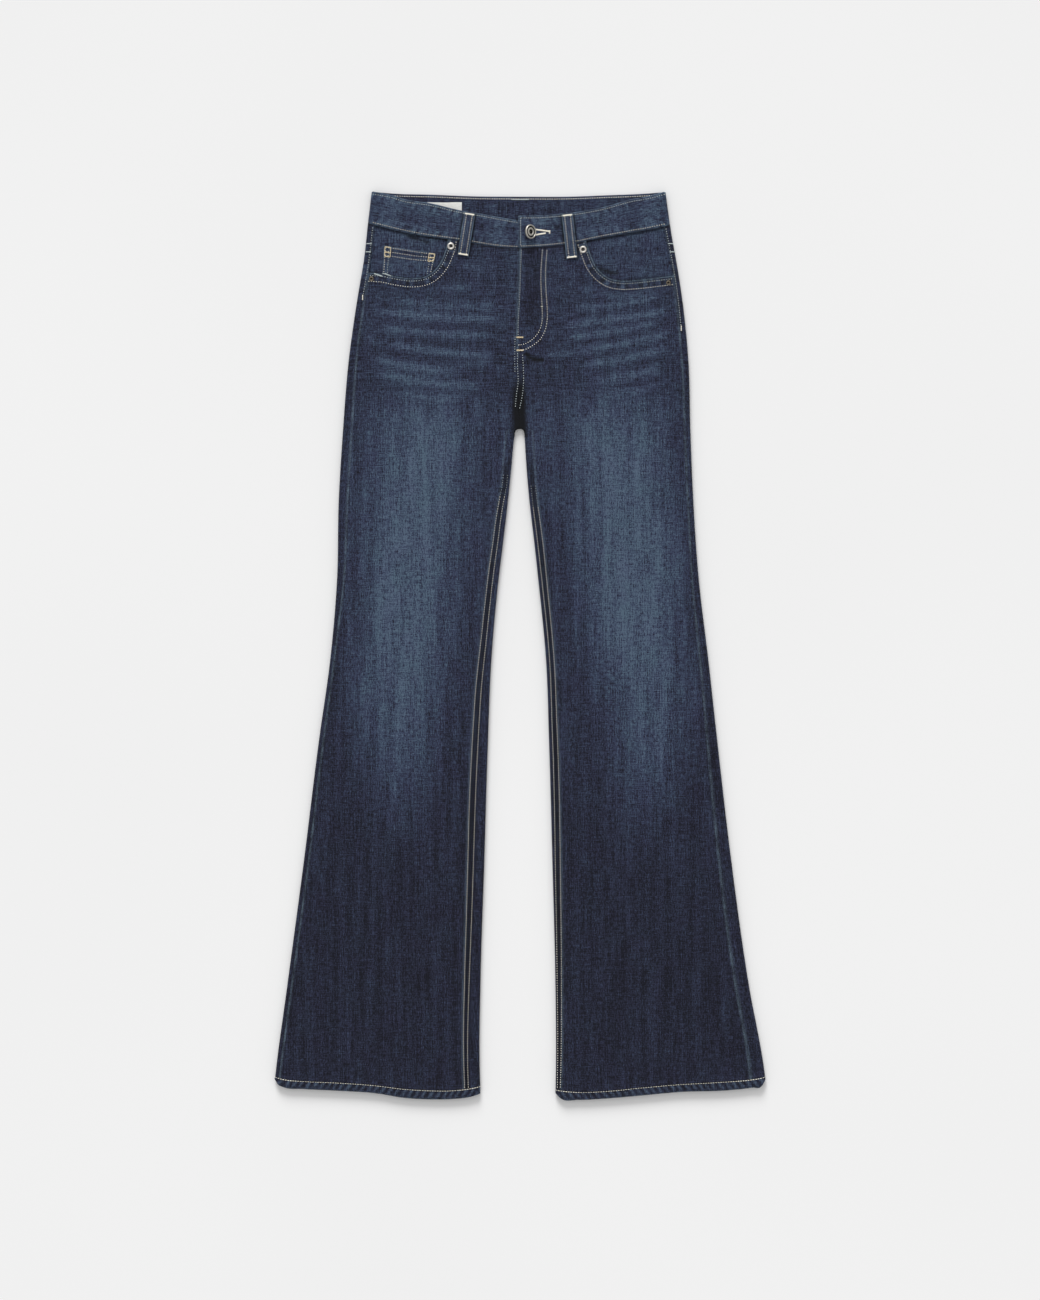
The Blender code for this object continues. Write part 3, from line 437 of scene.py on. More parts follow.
def smooth_line(points: Sequence[Sequence[float]], step: float) -> Array:
    """A smooth line through a few points, read at even steps along it.

    Args:
        points: rows of (x, y), or of (x, y, z).
        step: distance between the points that come back.

    Returns:
        Points along the cubic through the given ones, about one step apart.
    """
    rows = np.array(points, float)
    run = run_along(rows)
    fine = np.linspace(0, run[-1], max(40, int(run[-1] / 0.8)))
    if len(rows) > 2:
        line = np.stack(
            [Profile(np.stack((run, rows[:, k]), 1))(fine) for k in range(rows.shape[1])], 1,
        )
    else:
        line = rows[0] + (rows[1] - rows[0]) * (fine / run[-1])[:, None]
    along = run_along(line)
    count = max(2, int(round(along[-1] / step)) + 1)
    even = np.linspace(0, along[-1], count)
    return np.stack([np.interp(even, along, line[:, k]) for k in range(line.shape[1])], 1)


def crease(x: Array, y: Array, rows: Sequence[tuple]) -> Array:
    """Sum of soft ridges and troughs.

    Each is its height times a bell curve of the distance d from a parabola through its three
    points, exp(-(d / width)^2 / 2), and fades out towards both ends of the line.

    Args:
        x: of the points.
        y: of the points.
        rows: start, middle and end of each line as (x, y), its width across and its height.

    Returns:
        Height at each point.
    """
    total = np.zeros(np.broadcast(x, y).shape)
    for start, middle, end, width, height in rows:
        ax, ay = end[0] - start[0], end[1] - start[1]
        length = math.hypot(ax, ay)
        t = ((x - start[0]) * ax + (y - start[1]) * ay) / length ** 2
        mx, my = middle[0] - start[0], middle[1] - start[1]
        tm = (mx * ax + my * ay) / length ** 2
        bow = (mx * -ay + my * ax) / length / max(tm * (1 - tm), 0.05)
        off = ((x - start[0]) * -ay + (y - start[1]) * ax) / length
        off = off - bow * np.clip(t, 0, 1) * (1 - np.clip(t, 0, 1))
        fade = ease(t / CREASE_ENDS) * ease((1 - t) / CREASE_ENDS)
        total += height * bell(off, width) * fade
    return total


def ripple(along: Array, length: float, seed: int) -> Array:
    """Uneven ripple from -1 to 1: three sines whose lengths don't share a measure."""
    phase = np.array((0.0, 2.1, 4.3)) + seed
    return (
        0.5 * np.sin(2 * np.pi * along / length + phase[0])
        + 0.3 * np.sin(2 * np.pi * along / (length * 1.618) + phase[1])
        + 0.2 * np.sin(2 * np.pi * along / (length * 0.731) + phase[2])
    )


def distance_to(x: Array, y: Array, line: Array) -> tuple[Array, Array]:
    """Distance from each point to the nearest point of a line, and how far along it that one is."""
    run = run_along(line[:, :2])
    best = np.full(x.shape, np.inf)
    where = np.zeros(x.shape)
    for (px, py), along in zip(line[:, :2], run):
        off = (x - px) ** 2 + (y - py) ** 2
        nearer = off < best
        best = np.where(nearer, off, best)
        where = np.where(nearer, along, where)
    return np.sqrt(best), where


def trim_shade(x: Array, y: Array) -> Array:
    """Painted shadow that the front loops and the rivets cast on the cloth beside them.

    Each is a narrow bell curve of the distance off the trim's edge, exp(-(distance / width)^2).
    """
    total = np.zeros(np.broadcast(x, y).shape)
    for _, top, low, width in FRONT_LOOPS:
        part = (y - low[1]) / (top[1] - low[1])
        off = np.abs(x - low[0] - (top[0] - low[0]) * part) - width / 2
        inside = ease((part + 0.04) / 0.04) * ease((1.02 - part) / 0.04)
        total += 0.95 * peak(off - 0.5, 1.5) * inside
    for _, place, size in RIVETS:
        total += 0.7 * peak(np.hypot(x - place[0], y - place[1]) - size - 0.3, 0.8)
    return total


@dataclass(frozen=True)
class WashAndShade:
    """How worn and how darkened each point of a grid is, from 0 to 1: the last field holds ink, a
    metal's tarnish and painted shade.
    """

    fade: Array
    rub: Array
    ink_tarnish_and_shade: Array


@dataclass(frozen=True)
class Cloth:
    """A grid of cloth: its points, outward normals, place on the cut cloth, and wash with painted
    shade.
    """

    points: Array
    normals: Array
    flat: Array
    wash_and_shade: WashAndShade


@dataclass(frozen=True)
class Beside:
    """How each point of a grid lies to the seams of the top, as distances.

    side is the distance in from the outseam, seam the inseam's own w, centre the distance out
    from the centre front, opening the distance from the pocket's edge and along how far round
    that edge. below is True under the crotch and by_opening near the pocket.
    """

    side: Array
    seam: Array
    centre: Array
    opening: Array
    along: Array
    below: Array
    by_opening: Array


class Leg:
    """One half of the garment: its folds, seams, heights, wash and painted shade, all in (w, y)."""

    def __init__(self, side: Side) -> None:
        """Reads the half's profiles from the tables of sizes."""
        name = side.word
        self.name = name
        self.side = side.value
        self.outer = Profile(OUTER_FOLD[name])
        self.inner = Profile(INNER_FOLD[name])
        self.inset = Profile(OUTSEAM_INSET[name])
        self.rise = Profile(INSEAM_RISE[name])
        self.centre_front = Profile(CENTRE_FRONT)
        self.centre_back = Profile(CENTRE_BACK)
        self.hem_top = Profile(HEM_TOP[name])
        self.hem_edge = Profile(HEM_EDGE[name])
        self.band_seam = Profile(BAND_SEAM_FRONT[name])
        self.band_top = Profile(BAND_TOP_FRONT[name])
        self.band_seam_back = Profile(BAND_SEAM_BACK[name])
        self.band_top_back = Profile(BAND_TOP_BACK[name])
        self.row_near = Profile([(y, near) for y, near, far in INSEAM_ROWS[name]])
        self.row_far = Profile([(y, far) for y, near, far in INSEAM_ROWS[name]])
        self.opening = smooth_line(POCKET_OPENING[name], 1.2)
        self.yoke_seam = Profile((
            (0, YOKE_CENTRE_Y), (95, 0.5 * (YOKE_CENTRE_Y + YOKE_SIDE_Y) + 1), (190, YOKE_SIDE_Y),
        ))
        self.creases = LEFT_CREASES if self.side < 0 else RIGHT_CREASES
        self.tucks = [row for row in DARK_TUCKS if row[0][0] * self.side > 0]
        self.low_tucks = [row for row in self.tucks if row[0][1] < LOW_TUCKS_TOP]
        self.fade_middle = Profile(FADE_MIDDLE[name])
        self.fade_reach = Profile(FADE_REACH[name])
        self.fade_strength = Profile(FADE_STRENGTH)
        self.base_fade = Profile(BASE_FADE)

    def line(self, w: Array, y: Array) -> Array:
        """Points (x, y) of a line, from its distances outwards and its places up the garment."""
        return np.column_stack((self.side * w, y))

    def beside(self, w: Array, y: Array) -> Beside:
        """How each point lies to the seams of the top."""
        opening, along = distance_to(w, y, self.opening)
        return Beside(
            self.outseam(y) - w, self.inseam(y), w - self.side * self.centre_front(y), opening,
            along, y < CROTCH_Y, (y > OPENING_ZONE_Y) & (w > OPENING_ZONE_W),
        )

    def outseam(self, y: Array) -> Array:
        """Distance w of the seam down the outer side."""
        return self.outer(y) - self.inset(y)

    def parted(self, y: Array) -> Array:
        """How far the legs have parted, from 0 at the fly's end to 1 at the crotch."""
        return ease((VALLEY_TOP_Y - y) / (VALLEY_TOP_Y - CROTCH_Y))

    def roll(self, y: Array) -> Array:
        """How far the cloth has turned down into the seam between the legs, 0 to 90 degrees."""
        return math.pi / 2 * self.parted(y)

    def inner_edge(self, y: Array, seam: Curve) -> tuple[Array, Array]:
        """Fold line at the inner side, and how far the front turns round it."""
        above = y >= CROTCH_Y
        lapped = np.maximum(0.0, math.pi / 2 - self.rise(y) / FOLD_RADIUS)
        turn = np.where(above, self.roll(y), lapped)
        at_seam = self.side * seam(y) - FOLD_RADIUS * (1 - np.sin(turn))
        edge = np.where(above, at_seam, self.inner(y))
        return edge, turn

    def front_start(self, y: Array) -> Array:
        """Where the front starts, as a distance outwards with the fold laid flat."""
        edge, turn = self.inner_edge(y, self.centre_front)
        below = edge + FOLD_RADIUS - FOLD_RADIUS * math.pi / 2 + self.rise(y)
        return np.where(y >= CROTCH_Y, edge + FOLD_RADIUS - FOLD_RADIUS * turn, below)

    def inseam(self, y: Array) -> Array:
        """Distance w of the inseam where it lies on top."""
        lap = np.maximum(0.0, self.rise(y) - math.pi / 2 * FOLD_RADIUS)
        return self.inner(y) + FOLD_RADIUS + lap

    def fly_lift(self, w: Array, y: Array) -> Array:
        """The doubled cloth of the fly, on the right front inside the curved stitching."""
        if self.side < 0:
            return np.zeros(np.shape(w))
        bend = np.clip((y - FLY_END_Y) / (FLY_CURVE_Y - FLY_END_Y), 0, 1)
        reach = FLY_WIDTH * np.sqrt(bend * (2 - bend))
        over = ease((y - FLY_END_Y + FLY_SOFT) / FLY_SOFT)
        return FLY_LIFT * over * ease((reach + FLY_SOFT / 2 - w) / FLY_SOFT)

    def form(self, w: Array, y: Array) -> Array:
        """Main relief of the front over the flat top of the tube, as in the solids."""
        leg = self.parted(y)
        start = np.where(y >= CROTCH_Y, self.side * self.centre_front(y), self.inner(y))
        from_inner = ease((w - start - 2 * FOLD_RADIUS) / CROWN_REACH)
        from_outer = ease((self.outseam(y) - w) / CROWN_REACH)
        fade = ease((CROWN_TOP_Y - y) / CROWN_FADE)
        crown = CROWN * fade * from_outer * (1 - leg + leg * from_inner)
        depth = VALLEY_DEPTH * leg * ease((y - VALLEY_END_Y) / (CROTCH_Y - VALLEY_END_Y))
        valley = depth * bell(w - start, VALLEY_WIDTH)
        return crown - valley + self.fly_lift(w, y)

    def seam_relief(self, w: Array, y: Array) -> Array:
        """Fine relief by the seams of the top.

        The felled inseam and the doubled edge of the pocket opening stand up between their two
        rows of stitching, each row sits in a groove, and the cloth puckers beside it. The
        outseam is a pressed ridge with a groove on its outer side.
        """
        at = self.beside(w, y)
        near, far = self.row_near(y), self.row_far(y)
        felled = 0.5 * ease((w - at.seam + 0.6) / 1.2) * ease((at.seam + far + 1.8 - w) / 1.6)
        for row in (near, far):
            felled -= 0.28 * bell(w - at.seam - row, GROOVE_WIDTH)
        felled += 0.14 * ripple(y, 7.5, 1) * bell(w - at.seam - 6, 7)
        felled *= at.below * ease((CROTCH_Y - 20 - y) / 40)
        pressed = 0.34 * bell(at.side - 1.3, 1.3) - 0.42 * bell(at.side + 0.5, 0.7)
        pressed += 0.10 * ripple(y, 9.0, 4) * bell(at.side - 2, 5)
        doubled = 0.6 * ease((OPENING_BAND + 1 - at.opening) / 1.6)
        for row in OPENING_ROWS:
            doubled -= 0.3 * bell(at.opening - row, GROOVE_WIDTH)
        doubled += 0.16 * ripple(at.along, 3.4, 2) * bell(at.opening - 6.4, 3.4)
        doubled = np.where(at.by_opening, doubled, 0) * ease((at.side + 1) / 3)
        rise = (y > CROTCH_Y) * ease((VALLEY_TOP_Y - y + 4) / 8)
        crotch = 0.35 * bell(at.centre, 3.2) - 0.5 * bell(at.centre - 5.2, 1.2)
        edge = (y >= VALLEY_TOP_Y - 4) * -0.4 * bell(at.centre, 0.9)
        turned = 0.35 * ease((self.hem_top(w) + 5 - y) / 5)
        return felled + pressed + doubled + rise * crotch + edge + turned

    def drape(self, w: Array, y: Array) -> Array:
        """Creases over the hips and long soft folds down the leg."""
        x = self.side * w
        total = crease(x, y, self.creases) + crease(x, y, LEG_FOLDS[self.name])
        total += crease(x, y, self.low_tucks)
        if self.side > 0:
            total += sum(0.22 * bell(w - 9, 5) * bell(y - at, 3.5) for at in FLY_DIMPLES)
        return total

    def top_relief(self, w: Array, y: Array) -> Array:
        """Height of the dressed front over the flat top of the tube."""
        return self.form(w, y) + self.drape(w, y) + self.seam_relief(w, y)

    def top_height(self, w: Array, y: Array) -> Array:
        """Height of the top of the leg, rounded off at both folds by a circle of FOLD_RADIUS."""
        edge = self.inner_edge(y, self.centre_front)[0]
        inner = np.clip((edge + FOLD_RADIUS - w) / FOLD_RADIUS, 0, 1)
        outer = np.clip((w - self.outer(y) + FOLD_RADIUS) / FOLD_RADIUS, 0, 1)
        level = np.sqrt((1 - inner ** 2) * (1 - outer ** 2))
        return MIDDLE + (FOLD_RADIUS + self.top_relief(w, y)) * level

    def under_relief(self, w: Array, y: Array) -> Array:
        """Depth of seams and folds below, where the cloth rests: nothing reaches past the floor."""
        soft = crease(w, y, UNDER_FOLDS)
        centre = (y > CROTCH_Y - 10) * 0.35 * bell(w - 3, 3.4)
        yoke = self.yoke_seam(w)
        felled = 0.35 * bell(y - yoke - 4, 3.6) - 0.4 * bell(y - yoke, 0.8)
        return soft + centre + felled

    def thigh_fade(self, w: Array, y: Array) -> Array:
        """Fade from 0 to 1, over the thigh and under it.

        It is exp(-d^2.6) of the share d of its reach, about a middle line, times a strength that
        rises below the hips, is full over the thigh and ends below the knee.
        """
        off = np.abs(w - self.fade_middle(y)) / self.fade_reach(y)
        across = np.exp(-off ** 2.6)
        base = self.base_fade(y)
        drift = 0.06 * ripple(w + 0.12 * y, 23.0, 3) * ease((y + 320) / 200)
        return base + (1 - base) * self.fade_strength(y) * across + drift * (0.4 + 0.6 * across)

    def wash_and_shade(self, w: Array, y: Array, top: Array) -> WashAndShade:
        """Wear of the denim and painted shade on it: a fade down the thigh, pale creases at the hips,
        rubbed seam edges.

        Rubbed edges are bell curves of the distance from the outseam, the pocket opening, the
        felled inseam and the fly. Ink darkens the cloth between the two rows of stitching of a
        seam. Painted shadow lies under the band and beside the trims, painted shade in the tucks,
        and painted shade deepens the dark indigo in the crotch.

        Args:
            w: distance outwards of each point.
            y: of each point.
            top: True where the cloth faces up.

        Returns:
            The wear and painted shade of each point.
        """
        x, at = self.side * w, self.beside(w, y)
        fade = self.thigh_fade(w, y)
        hips = crease(x, y, [(*row[:3], 0.8 * row[3], row[4]) for row in self.creases]) / 0.4
        if self.side > 0:
            fade = fade - 0.22 * ease((w - 3) / 5) * ease((27 - w) / 4) * ease((y - 372) / 20)
        rows = ease((y - 270) / 40)
        fade = fade + rows * (0.5 * hips - 0.16)
        rub = 0.75 * bell(at.side - 0.9, 0.8) * (0.65 + 0.35 * ripple(y, 31, 2))
        rub += np.where(at.by_opening, 1.15 * bell(at.opening, 0.8), 0)
        rub += 0.35 * at.below * bell(w - at.seam - self.row_far(y) - 1.4, 0.8)
        fly = 0.55 if self.side > 0 else 0.2
        rub += ease((y - 338) / 24) * fly * bell(at.centre - 0.8, 0.8)
        felled = at.below * ease((w - at.seam - self.row_near(y) + 0.8) / 1.2)
        felled = felled * ease((at.seam + self.row_far(y) + 0.4 - w) / 1.2)
        ink_tarnish_and_shade = 0.62 * felled * ease((CROTCH_Y - 26 - y) / 30)
        band = ease((at.opening - 1.0) / 0.8) * ease((9.8 - at.opening) / 1.2)
        doubled = np.where(at.by_opening, band, 0)
        pucker = ripple(at.along, 8.5, 2)
        ink_tarnish_and_shade += doubled * np.clip(0.22 + 0.8 * pucker, 0, 0.75)
        fade = fade + 0.5 * doubled * ease(-1.6 * pucker)
        # Painted shadow under the lower edge of the waistband.
        ink_tarnish_and_shade += 0.55 * top * peak(self.band_seam(w) - y - 1.3, 1.4)
        # In the crotch valley painted shade deepens the dark indigo of the cloth.
        valley = ease((y - 246) / 8) * ease((330 - y) / 34)
        ink_tarnish_and_shade += 1.05 * (valley * np.exp(-((at.centre - 1.6) / 7.0) ** 4))
        if self.side > 0:
            below_fly = ease((352 - y) / 10) * ease((y - 280) / 8)
            ink_tarnish_and_shade += 0.36 * below_fly * np.exp(-((w - 0.2) / 4.2) ** 4)
        ink_tarnish_and_shade += 0.18 * (at.below & (w > 0)) * peak(w - at.seam, 1.2)
        # Painted shade in the troughs of the tucks, and painted shadow beside the loops and rivets.
        ink_tarnish_and_shade += np.clip(-1.7 * crease(x, y, self.tucks), 0, 1) + trim_shade(x, y)
        side_band = 0.16 * ease((w - self.outer(y) + 16) / 12) * ease((y + 420) / 200)
        fade = np.where(
            top, fade - side_band, 0.30 * ease((y + 300) / 300) + 0.06 + 0.05 * ripple(w, 37, 5),
        )
        return WashAndShade(np.clip(fade, 0, 1.15), *held(np.where(top, rub, 0.0), np.where(top, ink_tarnish_and_shade, 0.0)))

    def front_cloth(self, s: Array, y: Array) -> Cloth:
        """The front's outer face.

        s is the distance outwards with the fold laid flat: past the fold's circle the cloth is
        straight, and inside it the point turns down by (edge + R - s) / R.
        """
        edge = self.inner_edge(y, self.centre_front)[0]
        angle = np.clip((edge + FOLD_RADIUS - s) / FOLD_RADIUS, 0, math.pi / 2)
        w = np.where(angle > 0, edge + FOLD_RADIUS - FOLD_RADIUS * np.sin(angle), s)
        lift = self.top_relief(w, y) * np.cos(angle)
        normal = np.stack((-np.sin(angle), np.zeros_like(w), np.cos(angle)), -1)
        flat = np.stack((w, y, MIDDLE + FOLD_RADIUS * np.cos(angle)), -1)
        points = flat + normal * lift[..., None]
        return Cloth(points, normal, np.stack((s, y), -1), self.wash_and_shade(w, y, np.ones(w.shape, bool)))

    def back_spans(self, y_outer: Array, y_inner: Array) -> tuple[Array, ...]:
        """Lengths of the back's section: on top, beneath, round the inner fold, on top."""
        outer = self.outer(y_outer)
        edge, turn = self.inner_edge(y_inner, self.centre_back)
        below = y_inner < CROTCH_Y
        rise = self.rise(y_inner)
        wrap = np.where(below, np.minimum(math.pi, math.pi / 2 + rise / FOLD_RADIUS), turn)
        lap = np.where(below, np.maximum(0.0, rise - math.pi / 2 * FOLD_RADIUS), 0.0)
        flat, behind = self.inset(y_outer) - FOLD_RADIUS, outer - edge - 2 * FOLD_RADIUS
        return flat, behind, FOLD_RADIUS * wrap, lap

    def back_cloth(self, t: Array, y_outer: Array, y_inner: Array, row: Curve) -> Cloth:
        """The back's outer face, wrapped round both folds.

        t is the distance round the section: straight on top from the outseam, a half circle
        down, straight beneath, a circle up round the inner fold and straight on top again.

        Args:
            t: distances, one row of the grid in each row.
            y_outer: y of each row at the outer fold, as a column.
            y_inner: y of each row at the inner fold, as a column.
            row: gives y on the row by w.

        Returns:
            The grid of cloth.
        """
        flat, run, turn, lap = self.back_spans(y_outer, y_inner)
        outer = self.outer(y_outer)
        edge = self.inner_edge(y_inner, self.centre_back)[0]
        half = math.pi * FOLD_RADIUS
        first = np.clip(t - flat, 0, half) / FOLD_RADIUS
        beneath = np.clip(t - flat - half, 0, run)
        second = np.clip(t - flat - half - run, 0, turn) / FOLD_RADIUS
        past = t > flat + half + run
        w = outer - FOLD_RADIUS - flat + np.clip(t, 0, flat) + FOLD_RADIUS * np.sin(first) - beneath
        w = w - FOLD_RADIUS * np.sin(second) + np.clip(t - flat - half - run - turn, 0, lap)
        z = MIDDLE + FOLD_RADIUS * np.where(past, -np.cos(second), np.cos(first))
        turned = np.where(past, math.pi + second, first)
        normal = np.stack((np.sin(turned), np.zeros_like(w), np.cos(turned)), -1)
        y = row(w)
        upward = normal[..., 2] > 0
        lift = np.where(
            upward, self.top_relief(w, y) * normal[..., 2],
            self.under_relief(w, y) * -normal[..., 2],
        )
        lift = lift * np.where(upward & past, ease((w - edge) / FOLD_RADIUS), 1)
        points = np.stack((w, y, z), -1) + normal * lift[..., None]
        return Cloth(points, normal, np.stack((t, y), -1), self.wash_and_shade(w, y, upward))


LEGS = {side: Leg(side) for side in Side}


def quads(rows: int, columns: int, wrap_rows: bool = False, wrap_columns: bool = False) -> Array:
    """Corner indices of a grid's quads, whose last row or column joins its first where asked."""
    i = np.arange(rows if wrap_rows else rows - 1)[:, None]
    j = np.arange(columns if wrap_columns else columns - 1)[None, :]
    k, m = (i + 1) % rows, (j + 1) % columns
    corners = (i * columns + j, i * columns + m, k * columns + m, k * columns + j)
    return np.stack([np.broadcast_to(c, (i.size, j.size)) for c in corners], -1).reshape(-1, 4)


def make_piece(
    name: str, points: Array, faces: Array, finish: Material, flat: Optional[Array] = None,
    wash_and_shade: Optional[WashAndShade] = None, sharp: float = 50.0, turn_out: bool = True,
) -> Object:
    """A mesh piece in metres at the origin, with its cloth coordinates, wear and painted shade as
    attributes.

    Args:
        name: name of the object and its mesh.
        points: vertices in mm, as rows of x, y, z.
        faces: quads or triangles as rows of indices.
        finish: material.
        flat: place of each vertex on the cut cloth in mm, for the UV map.
        wash_and_shade: wear and painted shade of each vertex.
        sharp: edges that turn more than this many degrees stay hard.
        turn_out: faces of a closed mesh are turned outwards.

    Returns:
        The new object.
    """
    mesh = bpy.data.meshes.new(name)
    sides = faces.shape[1]
    mesh.vertices.add(len(points))
    mesh.vertices.foreach_set("co", (points * MM).astype(np.float32).ravel())
    mesh.loops.add(faces.size)
    mesh.polygons.add(len(faces))
    mesh.polygons.foreach_set("loop_start", np.arange(0, faces.size, sides, dtype=np.int32))
    if turn_out:
        corner = points[faces]
        normal = np.cross(corner[:, 2] - corner[:, 0], corner[:, -1] - corner[:, 1])
        volume = np.einsum("ij,ij->i", corner.mean(1), normal).sum()
        faces = faces[:, ::-1] if volume < 0 else faces
    mesh.loops.foreach_set("vertex_index", faces.astype(np.int32).ravel())
    mesh.update(calc_edges=True)
    mesh.validate()
    mesh.polygons.foreach_set("use_smooth", np.ones(len(mesh.polygons), bool))
    mesh.set_sharp_from_angle(angle=math.radians(sharp))
    if flat is not None:
        layer = mesh.uv_layers.new(name="cloth")
        index = np.empty(len(mesh.loops), np.int32)
        mesh.loops.foreach_get("vertex_index", index)
        apart = np.array((HALVES_APART * (points[:, 0].mean() > 0), 0.0))
        layer.data.foreach_set("uv", ((flat + apart)[index] * MM).astype(np.float32).ravel())
    if wash_and_shade is not None:
        for word, values in (("fade", wash_and_shade.fade), ("rub", wash_and_shade.rub), ("ink_tarnish_and_shade", wash_and_shade.ink_tarnish_and_shade)):
            made = mesh.attributes.new(word, "FLOAT", "POINT")
            made.data.foreach_set("value", values.astype(np.float32).ravel())
    mesh.materials.append(finish)
    piece = bpy.data.objects.new(name, mesh)
    bpy.context.scene.collection.objects.link(piece)
    return piece


def wall(
    name: str, outer: Array, inner: Array, finish: Material, flat: Array, wash_and_shade: WashAndShade,
) -> Object:
    """A closed wall of cloth between an outer and an inner grid, with a rim round all four sides.

    Args:
        name: of the piece.
        outer: points of the outer face.
        inner: points of the inner face.
        finish: material.
        flat: places on the cut cloth.
        wash_and_shade: wear and painted shade of both faces.

    Returns:
        The new object.
    """
    rows, columns = outer.shape[:2]
    half = rows * columns
    skin = quads(rows, columns)
    grid = np.arange(half).reshape(rows, columns)
    ring = np.concatenate((grid[0], grid[1:, -1], grid[-1, -2::-1], grid[-2:0:-1, 0]))
    after = np.roll(ring, -1)
    rim = np.stack((after, ring, ring + half, after + half), 1)
    faces = np.concatenate((skin, skin[:, ::-1] + half, rim))
    points = np.concatenate((outer.reshape(-1, 3), inner.reshape(-1, 3)))
    plan = np.tile(flat.reshape(-1, 2), (2, 1))
    marks = WashAndShade(*(np.tile(value.ravel(), 2) for value in (wash_and_shade.fade, wash_and_shade.rub, wash_and_shade.ink_tarnish_and_shade)))
    return make_piece(name, points, faces, finish, plan, marks)


def tube(
    name: str, grid: Array, finish: Material, flat: Array, wash_and_shade: WashAndShade, closed: bool,
) -> Object:
    """A wall whose rows run round its own thickness, so its edges are rounded.

    Rows are closed on themselves. Columns are closed too on a ring; otherwise each end gets a
    flat cap of quads from one side of the profile to the other.

    Args:
        name: of the piece.
        grid: points, a row of the grid for each point of the profile.
        finish: material.
        flat: places on the cut cloth.
        wash_and_shade: wear and painted shade of the points.
        closed: True for a ring.

    Returns:
        The new object.
    """
    rows, columns = grid.shape[:2]
    faces = [quads(rows, columns, True, closed)]
    if not closed:
        k = np.arange(rows // 2 - 1)
        for column in (0, columns - 1):
            cap = np.stack((k, k + 1, rows - 2 - k, rows - 1 - k), 1) * columns + column
            faces.append(cap if column == 0 else cap[:, ::-1])
    marks = WashAndShade(*(value.ravel() for value in (wash_and_shade.fade, wash_and_shade.rub, wash_and_shade.ink_tarnish_and_shade)))
    return make_piece(
        name, grid.reshape(-1, 3), np.concatenate(faces), finish, flat.reshape(-1, 2), marks,
    )


def stadium(
    width: Array, thickness: float, low: float, high: float, count: int,
) -> tuple[Array, Array]:
    """Profile round a strip of cloth: straight on both faces and round at both edges.

    Args:
        width: the strip's width at each column.
        thickness: of the strip.
        low: how far the lower edge's rounding reaches across.
        high: how far the upper edge's rounding reaches across.
        count: points along each face.

    Returns:
        Distance across from the lower edge, by profile point and column, and depth below the
        outer face, by profile point.
    """
    radius = thickness / 2
    t = np.linspace(0, 1, count)[:, None]
    turn = np.linspace(0, math.pi, 8)[1:-1][:, None]
    face = low + (width - low - high) * t
    over = width - high + high * np.sin(turn)
    under = low - low * np.sin(turn) + 0 * width
    across = np.concatenate((face, over, face[::-1], under))
    depth = np.concatenate((
        np.zeros(count), radius - radius * np.cos(turn[:, 0]), np.full(count, thickness),
        radius + radius * np.cos(turn[:, 0]),
    ))
    return across, depth


def spaced(length: float, step: float, edge: float = 0.9) -> tuple[Array, Array]:
    """Places from 0 to 1 along a side with three close ones at each end, and the rim's rise there.

    The rise is the height of a quarter circle: sqrt(1 - (1 - d)^2) of the distance from the end.
    """
    close = np.array((0, 0.3, 0.65)) * edge
    middle = np.linspace(edge, length - edge, max(2, int((length - 2 * edge) / step) + 1))
    place = np.concatenate((close, middle, length - close[::-1]))
    away = np.clip(np.minimum(place, length - place) / edge, 0, 1)
    return place / length, np.sqrt(1 - (1 - away) ** 2)


def patch_lift(rise: Array, thickness: float) -> Array:
    """Height of a laid-on piece over what it lies on: its thickness, less at its rim."""
    return thickness * (0.35 + 0.65 * rise)


def mirrored(leg: Leg, points: Array) -> Array:
    """From (w, y, z) to (x, y, z)."""
    return points * np.array((leg.side, 1, 1))


def row_places(start: float, end: float, step: float) -> Array:
    """Evenly spaced places from start to end, about one step apart."""
    return np.linspace(start, end, max(2, int(abs(end - start) / step) + 1))


@dataclass(frozen=True)
class Cut:
    """Flat size of a cut piece: width, length and area in metres, without seam allowance."""

    width: float
    length: float
    area: float

    def declare(self, piece: Object, on: str) -> None:
        """Takes the piece and what carries it, and does nothing with them."""


def dressed(
    piece: Object, slot: str, *nodes: str, cut: Optional[Cut] = None, on: str = "floor",
) -> Object:
    """Fixes a piece to the garment's body, hides the solids that it stands for and hands its cut to
    Cut.declare, which does nothing.

    Args:
        piece: what is dressed.
        slot: not used.
        nodes: solids that it stands for.
        cut: flat size of a piece of cloth.
        on: what carries the cloth.

    Returns:
        The same piece.
    """
    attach(piece, "root")
    if nodes:
        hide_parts(*nodes)
    LOG.info("%s: %d faces", piece.name, len(piece.data.polygons))
    if cut:
        cut.declare(piece, on)
    return piece


